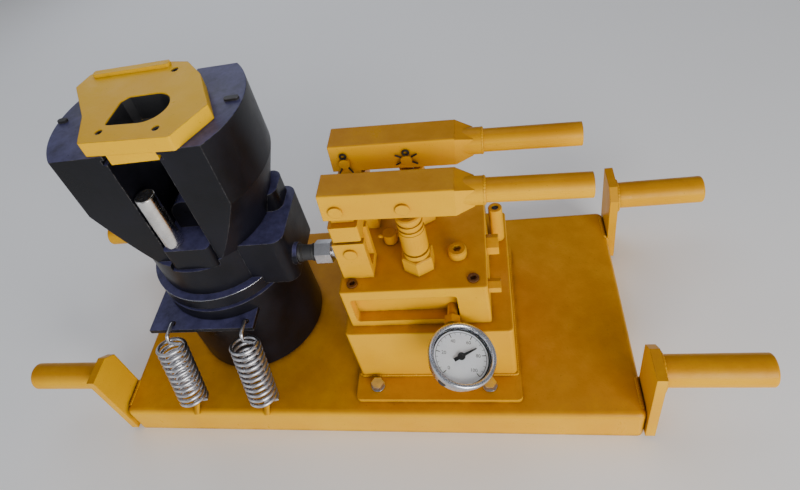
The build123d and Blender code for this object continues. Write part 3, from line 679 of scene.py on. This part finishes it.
def weld_path(path: Sequence[Vector], radius: float, seed: int) -> tuple[list, list]:
    """A rippled weld bead along a path.

    Args:
        path: The seam's corner points.
        radius: The bead's radius.
        seed: Seed of its unevenness.

    Returns:
        Vertices and faces.
    """
    ripple = 1.6 * MM
    dice = random.Random(seed)
    line, radii = [], []
    for start, end in zip(path, path[1:]):
        steps = max(int((end - start).length / (ripple / 2)), 2)
        for step in range(steps):
            line.append(start.lerp(end, step / steps))
            swell = 0.10 * math.cos(2 * math.pi * len(line) / 4)
            radii.append(radius * (1.0 + swell + dice.uniform(-0.08, 0.08)))
    line.append(path[-1])
    radii.append(radius * 0.8)
    radii[0] *= 0.8
    return tube_mesh(line, radii, 8)


def ring_points(centre: Vector, axis: Vector, radius: float, steps: int = 48) -> list[Vector]:
    """Points of a closed ring.

    Args:
        centre: Its middle.
        axis: Its axis.
        radius: Its radius.
        steps: Points round it.

    Returns:
        The points, with the first one again at the end.
    """
    place = facing(centre, axis)
    return [place @ Vector((radius * math.cos(2 * math.pi * step / steps),
                            radius * math.sin(2 * math.pi * step / steps), 0.0)) for step in range(steps + 1)]


def dress(finish: bpy.types.Material, *nodes: str) -> None:
    """Give CAD nodes a finish.

    Args:
        finish: The material.
        nodes: The nodes' names.
    """
    for name in nodes:
        slots = frame["nodes"][name].material_slots
        for slot in slots:
            slot.material = finish


# ------------------------------------------------------------------ sub-assemblies
@dataclass
class CarryDeck:
    """Folded deck with its ears, carry bars, pegs and hinge bracket, and the welds that join them."""

    finishes: Finishes
    ear_width: float = 50 * MM
    ear_bead: float = 2.6 * MM
    bar_bead: float = 2.2 * MM
    sink: float = 1.2 * MM
    ear_seed: int = 11
    bar_seed: int = 23

    def build(self) -> None:
        """Dress the CAD nodes and lay the welds."""
        dress(self.finishes.paint, "deck_tray", "carry_ears_left", "carry_ears_right", "spring_hooks",
              "tilt_bracket", *[f"carry_bar_{side}_{end}" for side in ("front", "rear")
                                for end in ("left", "right")])
        dress(self.finishes.polished, "tilt_pin")
        self.ear_welds()
        self.bar_welds()

    def ear_welds(self) -> None:
        """Beads between each ear and the deck: up the end face and along the top edge."""
        deck_low, deck_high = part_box("deck_tray")
        for end, edge_x in (("left", deck_low.x), ("right", deck_high.x)):
            low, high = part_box(f"carry_ears_{end}")
            inward = self.sink if end == "left" else -self.sink
            for side, outer, inner in (("front", low.y, low.y + self.ear_width),
                                       ("rear", high.y, high.y - self.ear_width)):
                x = edge_x + inward
                top = deck_high.z - 5 * MM
                step = math.copysign(12 * MM, inner - outer)
                line = [Vector((x - inward, inner, deck_low.z + 8 * MM)),
                        Vector((x - inward, inner, top)),
                        Vector((x + 2 * inward, inner - step / 4, top + 3.5 * MM)),
                        Vector((x + 2 * inward, outer + step, top + 3.5 * MM))]
                mesh = weld_path(line, self.ear_bead, self.ear_seed)
                new_piece(f"weld_ear_{side}_{end}", *mesh, self.finishes.paint, Slot.PAINT, Body.DECK)

    def bar_welds(self) -> None:
        """A ring bead where each carry bar meets its ear."""
        for side in ("front", "rear"):
            for end in ("left", "right"):
                low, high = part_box(f"carry_bar_{side}_{end}")
                root = low.x + self.sink if end == "right" else high.x - self.sink
                centre = Vector((root, (low.y + high.y) / 2, (low.z + high.z) / 2))
                radius = (high.z - low.z) / 2 - 0.8 * MM
                ring = ring_points(centre, Vector((1.0, 0.0, 0.0)), radius, 64)
                mesh = weld_path(ring, self.bar_bead, self.bar_seed)
                new_piece(f"weld_bar_{side}_{end}", *mesh, self.finishes.paint, Slot.PAINT, Body.DECK)


@dataclass
class HandPump:
    """Tank, valve block and everything screwed into it."""

    finishes: Finishes
    bead: float = 2.0 * MM
    weld_seed: int = 5
    mouth_radius: float = 3.9 * MM

    def build(self) -> None:
        """Dress the CAD nodes, weld the tank to its foot, and add the washer behind the hose fitting's nut
        and a black disc of painted shade in the filler's hole.
        """
        dress(self.finishes.paint, "pump_foot", "tank_shell", "pump_block", "plunger_barrels", "gland_nuts",
              "filler_cap", "block_plugs", "release_valve", "lever_posts", "post_pins", "gauge_stem")
        dress(self.finishes.rusty_bolts, "block_screws")
        dress(self.finishes.zinc, "foot_bolts", "hex_fitting", "suction_strainer")
        dress(self.finishes.polished, "plunger_front", "plunger_rear", "check_balls")
        dress(self.finishes.rubber, "plunger_seals")
        self.tank_weld()
        self.fitting_washer()
        self.filler_hole_shade()

    def tank_weld(self) -> None:
        """Bead round the foot of the tank."""
        low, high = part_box("tank_shell")
        z = low.z + 0.8 * MM
        inset = 1.5 * MM
        corners = [Vector((low.x + inset, low.y, z)), Vector((high.x - inset, low.y, z)),
                   Vector((high.x, low.y + inset, z)), Vector((high.x, high.y - inset, z)),
                   Vector((high.x - inset, high.y, z)), Vector((low.x + inset, high.y, z)),
                   Vector((low.x, high.y - inset, z)), Vector((low.x, low.y + inset, z)),
                   Vector((low.x + inset, low.y, z))]
        mesh = weld_path(corners, self.bead, self.weld_seed)
        new_piece("weld_tank_foot", *mesh, self.finishes.paint, Slot.PAINT, Body.DECK)

    def fitting_washer(self) -> None:
        """Plated washer behind the hose fitting's nut."""
        low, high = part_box("hex_fitting")
        centre = Vector((high.x, (low.y + high.y) / 2, (low.z + high.z) / 2))
        profile = [(8.0 * MM, -7.5 * MM), (11.2 * MM, -7.5 * MM), (11.8 * MM, -6.8 * MM),
                   (11.8 * MM, -5.4 * MM), (11.2 * MM, -4.8 * MM), (8.0 * MM, -4.8 * MM)]
        mesh = lathe_mesh(profile, facing(centre, Vector((1.0, 0.0, 0.0))), 48)
        new_piece("fitting_washer", *mesh, self.finishes.zinc, Slot.ZINC, Body.DECK)

    def filler_hole_shade(self) -> None:
        """Black disc sunk in the filler's open top: painted shade in its hole."""
        low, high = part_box("filler_cap")
        centre = Vector(((low.x + high.x) / 2, (low.y + high.y) / 2, high.z))
        radius = self.mouth_radius
        profile = [(0.05 * MM, -5.9 * MM), (radius, -5.9 * MM), (radius, -1.4 * MM),
                   (radius - 0.5 * MM, -1.2 * MM), (radius - 1.2 * MM, -2.6 * MM), (0.05 * MM, -2.8 * MM)]
        mesh = lathe_mesh(profile, Matrix.Translation(centre), 40)
        # Painted shade: a black disc filling the filler's hole.
        new_piece("filler_hole_shade", *mesh, self.finishes.rubber, Slot.RUBBER, Body.FILLER)


@dataclass
class PumpLever:
    """One pump lever with its link, pins and handle tube."""

    finishes: Finishes
    place: str
    body: Body
    link: Body
    wall: float = 3 * MM
    block_half: float = 15.5 * MM
    block_gap: float = 3.6 * MM
    block_drop: float = 37 * MM
    block_cut: float = 1.5 * MM
    weld_bead: float = 1.7 * MM
    weld_seed: int = 31

    def build(self) -> None:
        """Dress the lever, square up its link and add its handle's weld."""
        dress(self.finishes.lever_paint, f"lever_arm_{self.place}", f"lever_handle_{self.place}",
              f"link_{self.place}", f"lever_pins_{self.place}")
        dress(self.finishes.dark_bolts, f"split_pins_{self.place}")
        socket = next(one for one in frame["record"]["mounts"] if one["name"] == f"lever_socket_{self.place}")
        at, axis = Vector(socket["pos_m"]), Vector(socket["axis"]).normalized()
        collar_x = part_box(f"lever_arm_{self.place}")[1].x
        centre = at + axis * ((collar_x - at.x) / axis.x)
        radius = socket["dims"]["r_mm"] * MM + self.wall
        self.link_block()
        mesh = weld_path(ring_points(centre, axis, radius + 0.4 * MM, 56), self.weld_bead, self.weld_seed)
        new_piece(f"weld_handle_{self.place}", *mesh, self.finishes.lever_paint, Slot.PAINT, self.body)

    def link_block(self) -> None:
        """Square block round the link, between its post and the lever."""
        low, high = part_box(f"link_{self.place}")
        posts_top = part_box("lever_posts")[1].z
        x, y = (low.x + high.x) / 2, (low.y + high.y) / 2
        bottom, top = posts_top + self.block_gap, high.z - self.block_drop
        ring = []
        half, cut = self.block_half, self.block_cut
        for across, along in ((1, -1), (1, 1), (-1, 1), (-1, -1)):
            first, second = (half, half - cut), (half - cut, half)
            pair = (first, second) if across * along > 0 else (second, first)
            ring += [(x + across * one, y + along * two) for one, two in pair]
        points = [Vector((px, py, z)) for z in (bottom, top) for px, py in ring]
        count = len(ring)
        faces = [(step, (step + 1) % count, count + (step + 1) % count, count + step)
                 for step in range(count)]
        faces += [tuple(range(count))[::-1], tuple(range(count, 2 * count))]
        new_piece(f"link_block_{self.place}", points, faces, self.finishes.lever_paint, Slot.PAINT, self.link)


@dataclass
class PressureGauge:
    """Gauge that faces up and towards the working side."""

    finishes: Finishes
    dial_back: float = 8.5 * MM
    scale_radius: float = 26.5 * MM
    first_angle: float = 225.0
    sweep: float = 270.0
    divisions: int = 20
    labels: int = 6
    label_size: float = 5.2 * MM
    label_inset: float = 8.2 * MM
    print_lift: float = 0.12 * MM
    plug_angle: float = 235.0

    def __post_init__(self) -> None:
        """Find the gauge's middle and axis from its needle's joint."""
        joint = next(one for one in frame["record"]["behaviour"]["joints"] if one["name"] == "needle_swing")
        self.place = facing(Vector(joint["pos_m"]), Vector(joint["axis"]).normalized())

    def build(self) -> None:
        """Turn the case, bezel and glass, and print the dial."""
        dress(self.finishes.dial, "gauge_dial")
        dress(self.finishes.ink_and_shade, "gauge_pointer")
        self.case()
        self.bezel()
        self.glass()
        self.scale()

    def turned(self, name: str, profile: Sequence[tuple[float, float]], finish: bpy.types.Material,
               slot: Slot) -> bpy.types.Object:
        """A turned piece on the gauge's axis.

        Args:
            name: The piece's name.
            profile: Radius and height pairs, in millimetres.
            finish: Its material.
            slot: Its record slot.

        Returns:
            The new piece.
        """
        metres = [(radius * MM, height * MM) for radius, height in profile]
        return new_piece(name, *lathe_mesh(metres, self.place, 96), finish, slot, Body.DECK)

    def case(self) -> None:
        """Drawn steel cup with a rounded back and a rubber relief plug."""
        outline = [(30.7, -3.0), (32.4, -3.0), (32.4, -21.0), (31.8, -23.2), (30.2, -24.7),
                   (27.8, -25.0), (0.2, -25.0), (0.2, -10.2), (30.7, -10.2)]
        cup = self.turned("gauge_cup", outline, self.finishes.stainless, Slot.GAUGE)
        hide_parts("gauge_case")
        turn = math.radians(self.plug_angle)
        radial = self.place.to_3x3() @ Vector((math.cos(turn), math.sin(turn), 0.0))
        seat = self.place @ Vector((32.1 * MM * math.cos(turn), 32.1 * MM * math.sin(turn), -17.0 * MM))
        outline = [(0.05, -0.6), (4.6, -0.6), (4.6, 0.5), (3.8, 1.2), (0.05, 1.4)]
        metres = [(radius * MM, height * MM) for radius, height in outline]
        mesh = lathe_mesh(metres, facing(seat, radial), 32)
        new_piece("gauge_relief_plug", *mesh, self.finishes.rubber, Slot.RUBBER, Body.DECK)

    def bezel(self) -> None:
        """Rolled ring with a step that holds the glass."""
        outline = [(30.5, -2.9), (30.5, -1.2), (31.1, -0.4), (32.1, 0.0), (33.9, 0.0), (34.9, -0.5),
                   (35.5, -1.6), (35.5, -7.4), (35.0, -8.6), (34.1, -9.0), (32.55, -9.0), (32.55, -2.9)]
        ring = self.turned("gauge_rim", outline, self.finishes.stainless, Slot.GAUGE)
        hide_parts("gauge_bezel")

    def glass(self) -> None:
        """Slightly domed window."""
        rise = 0.9
        steps = 10
        top = [(30.4 * (1 - step / steps) + 0.05, -1.9 + rise * (1 - (1 - step / steps) ** 2))
               for step in range(steps + 1)]
        bottom = [(radius, height - 1.2) for radius, height in reversed(top)]
        window = self.turned("gauge_window", [*top, *bottom], self.finishes.glass, Slot.GLASS)
        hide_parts("gauge_glass")

    def scale(self) -> None:
        """Arc, ticks and plain numbers, printed on the dial."""
        lift = -self.dial_back + self.print_lift
        points: list[Vector] = []
        faces: list[tuple[int, ...]] = []

        def patch(inner: float, outer: float, start: float, end: float, steps: int) -> None:
            """Add a thin flat sector.

            Args:
                inner: Its inner radius, in metres.
                outer: Its outer radius, in metres.
                start: The angle where it starts, in degrees.
                end: The angle where it ends, in degrees.
                steps: Quads along it.
            """
            first = len(points)
            for step in range(steps + 1):
                angle = math.radians(start + (end - start) * step / steps)
                for radius in (inner, outer):
                    flat = Vector((radius * math.cos(angle), radius * math.sin(angle), lift))
                    points.append(self.place @ flat)
            for step in range(steps):
                near = first + 2 * step
                faces.append((near, near + 2, near + 3, near + 1))

        patch(self.scale_radius + 2.2 * MM, self.scale_radius + 3.8 * MM, 0.0, 360.0, 120)
        patch(self.scale_radius, self.scale_radius + 0.5 * MM, self.first_angle - self.sweep,
              self.first_angle, 90)
        for mark in range(self.divisions + 1):
            angle = self.first_angle - self.sweep * mark / self.divisions
            long_mark = mark % 4 == 0
            depth, half = (4.2 * MM, 1.0) if long_mark else (2.3 * MM, 0.45)
            patch(self.scale_radius - depth, self.scale_radius, angle - half, angle + half, 2)
        new_piece("dial_marks", points, faces, self.finishes.ink_and_shade, Slot.POINTER, Body.DECK)
        for number in range(self.labels):
            angle = self.first_angle - self.sweep * number / (self.labels - 1)
            self.numeral(str(number * 20), angle, lift)

    def numeral(self, text: str, angle: float, lift: float) -> None:
        """Print one number.

        Args:
            text: The digits.
            angle: Where it stands round the dial, in degrees.
            lift: Its height over the gauge's middle, in metres.
        """
        curve = bpy.data.curves.new(f"number_{text}", "FONT")
        curve.body = text
        curve.size = self.label_size
        curve.align_x = "CENTER"
        curve.align_y = "CENTER"
        scratch = bpy.data.objects.new(f"number_{text}_outline", curve)
        flat = bpy.data.meshes.new_from_object(scratch)
        radius = self.scale_radius - self.label_inset
        turn = math.radians(angle)
        at = Vector((radius * math.cos(turn), radius * math.sin(turn), lift))
        points = [self.place @ (vertex.co + at) for vertex in flat.vertices]
        faces = [tuple(face.vertices) for face in flat.polygons]
        bpy.data.objects.remove(scratch)
        new_piece(f"dial_number_{text}", points, faces, self.finishes.ink_and_shade, Slot.POINTER, Body.DECK)


@dataclass
class BendingHead:
    """Black head with its ram, posts, former and yellow anvil."""

    finishes: Finishes
    hole_flat: tuple[tuple[float, float], ...] = ((17.0, -45.0), (-22.0, -42.0), (-20.0, -3.0),
                                                  (-13.0, 4.0), (17.0, 4.0))
    hole_round: tuple[float, float, float] = (17.0, -20.5, 24.5)
    shade_sheet_gap: float = 0.3
    shade_sheet_wall: float = 0.6 * MM
    bow_steps: int = 24
    highlight_wire: float = 0.5 * MM
    highlight_steps: int = 120

    def build(self) -> None:
        """Dress the head's nodes, put painted shade on the anvil's hand hole wall and a painted highlight
        round the collar.
        """
        dress(self.finishes.oxide, "head_barrel", "head_collar", "yoke", "spring_plate", "port_block",
              "tilt_lug", "former", "ram")
        dress(self.finishes.dark_bolts, "crown_keys", "anvil_screws")
        dress(self.finishes.polished, "bending_posts")
        dress(self.finishes.rubber, "ram_seal")
        dress(self.finishes.anvil_paint, "anvil")
        self.hand_hole_shade_sheet()
        self.collar_highlight_ring()

    def head_axis(self) -> Vector:
        """The point of the head's upright axis on the barrel's foot.

        Returns:
            The point.
        """
        low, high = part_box("head_barrel")
        return Vector(((low.x + high.x) / 2, (low.y + high.y) / 2, low.z))

    def hole_outline(self) -> list[Vector]:
        """Corners of the hand hole about the head's axis, a little inside its wall.

        Returns:
            The corners in order, at height zero.
        """
        middle_x, middle_y, radius = self.hole_round
        flat = [(x + math.copysign(self.shade_sheet_gap, middle_x - x) * (x < middle_x), y)
                for x, y in self.hole_flat]
        flat = [(x, y + self.shade_sheet_gap if y < middle_y else y - self.shade_sheet_gap) for x, y in flat]
        bow = []
        reach = radius - self.shade_sheet_gap
        for step in range(1, self.bow_steps):
            turn = math.radians(90.0 - 180.0 * step / self.bow_steps)
            bow.append((middle_x + reach * math.cos(turn), middle_y + reach * math.sin(turn)))
        axis = self.head_axis()
        return [Vector((axis.x + x * MM, axis.y + y * MM, 0.0)) for x, y in [*flat, *bow]]

    def hand_hole_shade_sheet(self) -> None:
        """Black sheet on the wall of the hand hole: painted shade."""
        low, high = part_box("anvil")
        outline = self.hole_outline()
        centre = sum(outline, Vector()) / len(outline)
        inner = [point + (centre - point).normalized() * self.shade_sheet_wall for point in outline]
        bottom, top = low.z + 0.5 * MM, high.z - 5.2 * MM
        count = len(outline)
        points = []
        for ring, z in ((outline, bottom), (outline, top), (inner, top), (inner, bottom)):
            points += [Vector((point.x, point.y, z)) for point in ring]
        faces = []
        for band in range(4):
            for step in range(count):
                near, far = band * count + step, band * count + (step + 1) % count
                after = (near + count) % (4 * count)
                faces.append((near, far, (far + count) % (4 * count), after))
        # Painted shade: a black sheet lining the hand hole.
        new_piece("hand_hole_shade_sheet", points, faces, self.finishes.ink_and_shade, Slot.OXIDE, Body.ANVIL)

    def collar_highlight_ring(self) -> None:
        """Thin bright ring where the yoke stands on the collar: a painted highlight."""
        low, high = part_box("head_collar")
        centre = Vector(((low.x + high.x) / 2, (low.y + high.y) / 2, high.z - 1.0 * MM))
        radius = (high.x - low.x) / 2 - 0.35 * MM
        ring = ring_points(centre, Vector((0.0, 0.0, 1.0)), radius, self.highlight_steps)
        mesh = tube_mesh(ring, [self.highlight_wire] * len(ring), 8)
        # Painted highlight: a bright steel ring round the collar's top.
        new_piece("collar_highlight_ring", *mesh, self.finishes.stainless, Slot.GAUGE, Body.HEAD)


@dataclass
class HoldDownSpring:
    """Extension spring from a deck peg up to the spring plate's edge."""

    finishes: Finishes
    side: str
    lean: float = 14.89
    turns: float = 11.0
    coil_radius: float = 16.8 * MM
    wire: float = 2.2 * MM
    body_length: float = 94 * MM
    reach: float = 118.7 * MM
    hook_reach: float = 22 * MM
    hook_bar: float = 2 * MM
    hook_bend: float = 2.4 * MM
    turn_steps: int = 32
    leg_steps: int = 8
    blend_share: float = 0.95

    def build(self) -> None:
        """Wind the coil, with a leg into the peg and a hook over the plate."""
        low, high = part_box(f"return_spring_{self.side}")
        lean = math.radians(self.lean)
        axis = Vector((0.0, math.sin(lean), math.cos(lean)))
        head = Vector(((low.x + high.x) / 2, high.y - self.hook_reach, high.z - self.hook_bar))
        centre = head - axis * self.reach / 2
        place = facing(centre, axis)
        line = [place @ point for point in self.leg(-1) + self.coil() + self.leg(1)]
        line += self.hook(head)
        points, faces = tube_mesh(line, [self.wire] * len(line), 12)
        spring = new_piece(f"hold_down_spring_{self.side}", points, faces, self.finishes.zinc, Slot.ZINC,
                           None)
        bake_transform(spring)
        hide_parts(f"return_spring_{self.side}")

    def coil(self) -> list[Vector]:
        """Points of the coil about the Z axis.

        Returns:
            The points from the deck's end up.
        """
        count = int(self.turns * self.turn_steps)
        points = []
        for step in range(count + 1):
            angle = 2 * math.pi * self.turns * step / count
            height = self.body_length * (step / count - 0.5)
            points.append(Vector((self.coil_radius * math.cos(angle), self.coil_radius * math.sin(angle),
                                  height)))
        return points

    def leg(self, end: int) -> list[Vector]:
        """Points from one end of the coil in to its axis and out along it.

        Args:
            end: -1 for the deck's end, 1 for the plate's end.

        Returns:
            The points, in the path's order.
        """
        points = []
        for step in range(1, self.leg_steps + 1):
            share = step / self.leg_steps
            points.append(Vector((self.coil_radius * (1 - share), 0.0,
                                  self.body_length / 2 + 3.4 * MM * share ** 2)))
        points.append(Vector((0.0, 0.0, self.reach / 2 - 3 * MM)))
        if end < 0:
            return [Vector((point.x, point.y, -point.z)) for point in reversed(points)]
        return points

    def hook(self, head: Vector) -> list[Vector]:
        """Points of the hook that lies over the plate and drops into its hole.

        Args:
            head: Where the leg meets the hook.

        Returns:
            The points, in the path's order.
        """
        bend = self.hook_bend
        far = self.hook_reach - self.hook_bar
        offsets = [(0.3 * bend, -0.4 * bend), (0.9 * bend, 0.0), (far - bend, 0.0),
                   (far - 0.3 * bend, -0.3 * bend), (far, -bend), (far, -3 * bend)]
        return [head + Vector((0.0, forward, rise)) for forward, rise in offsets]


@dataclass
class OilHose:
    """Short rubber hose with crimped ends between the head and the pump's nut."""

    finishes: Finishes
    steps: int = 40
    ribs: int = 12
    rib_height: float = 0.35 * MM
    slim: float = 0.9 * MM
    crimp_share: float = 0.25

    def build(self) -> None:
        """Make the hose."""
        low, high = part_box("oil_hose")
        centre_y, centre_z = (low.y + high.y) / 2, (low.z + high.z) / 2
        radius = (high.z - low.z) / 2
        path, radii = [], []
        for step in range(self.steps + 1):
            share = step / self.steps
            crimp = share < self.crimp_share or share > 1 - self.crimp_share
            rib = self.rib_height * math.cos(2 * math.pi * share * self.ribs) if crimp else -self.slim
            path.append(Vector((low.x + (high.x - low.x) * share, centre_y, centre_z)))
            radii.append(radius - 0.4 * MM + rib)
        mesh = tube_mesh(path, radii, 36)
        hose = new_piece("pressure_hose", *mesh, self.finishes.rubber, Slot.RUBBER, None)
        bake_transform(hose)
        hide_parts("oil_hose")


# ------------------------------------------------------------------ studio
@dataclass(frozen=True)
class Lamp:
    """A square area light."""

    name: str
    place: Vector
    size: float
    watts: float
    colour: Colour


@dataclass
class Studio:
    """Pale floor, soft lights and the camera."""

    eye: Vector = Vector((0.1925, -0.4631, 0.7147))
    pitch: float = -0.7497
    yaw: float = -0.3557
    roll: float = -0.3284
    lens: float = 27.24
    shift: tuple[float, float] = (0.0659, -0.0462)
    sensor: float = 36.0
    floor_half: float = 6.0
    floor_drop: float = 0.2 * MM
    aim: Vector = Vector((0.0, 0.0, 0.18))
    surround: Colour = (0.93, 0.95, 1.0)
    surround_strength: float = 0.30
    lamps: tuple[Lamp, ...] = (
        Lamp("key", Vector((1.05, -1.65, 0.75)), 1.1, 38.0, (1.0, 0.98, 0.95)),
        Lamp("fill", Vector((-1.5, -1.3, 0.9)), 1.4, 5.0, (0.88, 0.93, 1.0)),
        Lamp("top", Vector((-0.2, 0.7, 1.9)), 1.4, 7.0, (0.86, 0.90, 1.0)),
        Lamp("rim", Vector((-0.9, 1.5, 1.0)), 1.0, 4.0, (0.84, 0.89, 1.0)),
    )

    def build(self) -> None:
        """Set up the floor, camera and lights."""
        self.floor()
        self.camera()
        for lamp in self.lamps:
            self.light(lamp)
        world = bpy.data.worlds.new("soft_surround")
        world.use_nodes = True
        background = world.node_tree.nodes["Background"]
        background.inputs["Color"].default_value = (*self.surround, 1.0)
        background.inputs["Strength"].default_value = self.surround_strength
        bpy.context.scene.world = world

    def floor(self) -> None:
        """A wide pale floor just under the deck."""
        half = self.floor_half
        corners = [(-half, -half, 0), (half, -half, 0), (half, half, 0), (-half, half, 0)]
        mesh = bpy.data.meshes.new("floor")
        mesh.from_pydata(corners, [], [(0, 1, 2, 3)])
        floor = bpy.data.objects.new("floor", mesh)
        bpy.context.scene.collection.objects.link(floor)
        floor.location.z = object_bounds()[0][2] - self.floor_drop
        sheet = ShaderSheet("pale_floor")
        tone = sheet.mixed(sheet.noise(3.0), (0.95, 0.95, 0.95), (0.92, 0.92, 0.92))
        mesh.materials.append(sheet.done(tone, 0.75))
        floor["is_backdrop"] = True

    def camera(self) -> None:
        """Place the camera by its eye, pitch, yaw and roll."""
        ahead = Vector((math.sin(self.yaw) * math.cos(self.pitch),
                        math.cos(self.yaw) * math.cos(self.pitch), math.sin(self.pitch)))
        level = ahead.cross(Vector((0.0, 0.0, 1.0))).normalized()
        above = level.cross(ahead)
        right = level * math.cos(self.roll) + above * math.sin(self.roll)
        up = above * math.cos(self.roll) - level * math.sin(self.roll)
        lens = bpy.data.cameras.new("camera")
        lens.lens = self.lens
        lens.sensor_width = self.sensor
        lens.shift_x, lens.shift_y = self.shift
        camera = bpy.data.objects.new("camera", lens)
        turned = Matrix((right, up, -ahead)).transposed().to_4x4()
        camera.matrix_world = Matrix.Translation(self.eye) @ turned
        bpy.context.scene.collection.objects.link(camera)
        bpy.context.scene.camera = camera

    def light(self, lamp: Lamp) -> None:
        """Add a lamp aimed at the object.

        Args:
            lamp: Its name, place, size, power and colour.
        """
        area = bpy.data.lights.new(lamp.name, "AREA")
        area.size = lamp.size
        area.energy = lamp.watts
        area.color = lamp.colour
        holder = bpy.data.objects.new(lamp.name, area)
        holder.location = lamp.place
        holder.rotation_euler = (self.aim - lamp.place).to_track_quat("-Z", "Y").to_euler()
        bpy.context.scene.collection.objects.link(holder)


def main() -> None:
    """Build every piece in order."""
    logging.basicConfig(level=logging.INFO, format="%(message)s")
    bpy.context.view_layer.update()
    finishes = Finishes.mixed()
    Studio().build()
    builders = {
        "carry deck": CarryDeck(finishes),
        "hand pump": HandPump(finishes),
        "front lever": PumpLever(finishes, "front", Body.LEVER_FRONT, Body.LINK_FRONT),
        "rear lever": PumpLever(finishes, "rear", Body.LEVER_REAR, Body.LINK_REAR),
        "pressure gauge": PressureGauge(finishes),
        "bending head": BendingHead(finishes),
        "left spring": HoldDownSpring(finishes, "left"),
        "right spring": HoldDownSpring(finishes, "right"),
        "oil hose": OilHose(finishes),
    }
    for label, builder in builders.items():
        builder.build()
        LOG.info("built the %s", label)


if __name__ == "__main__":
    main()
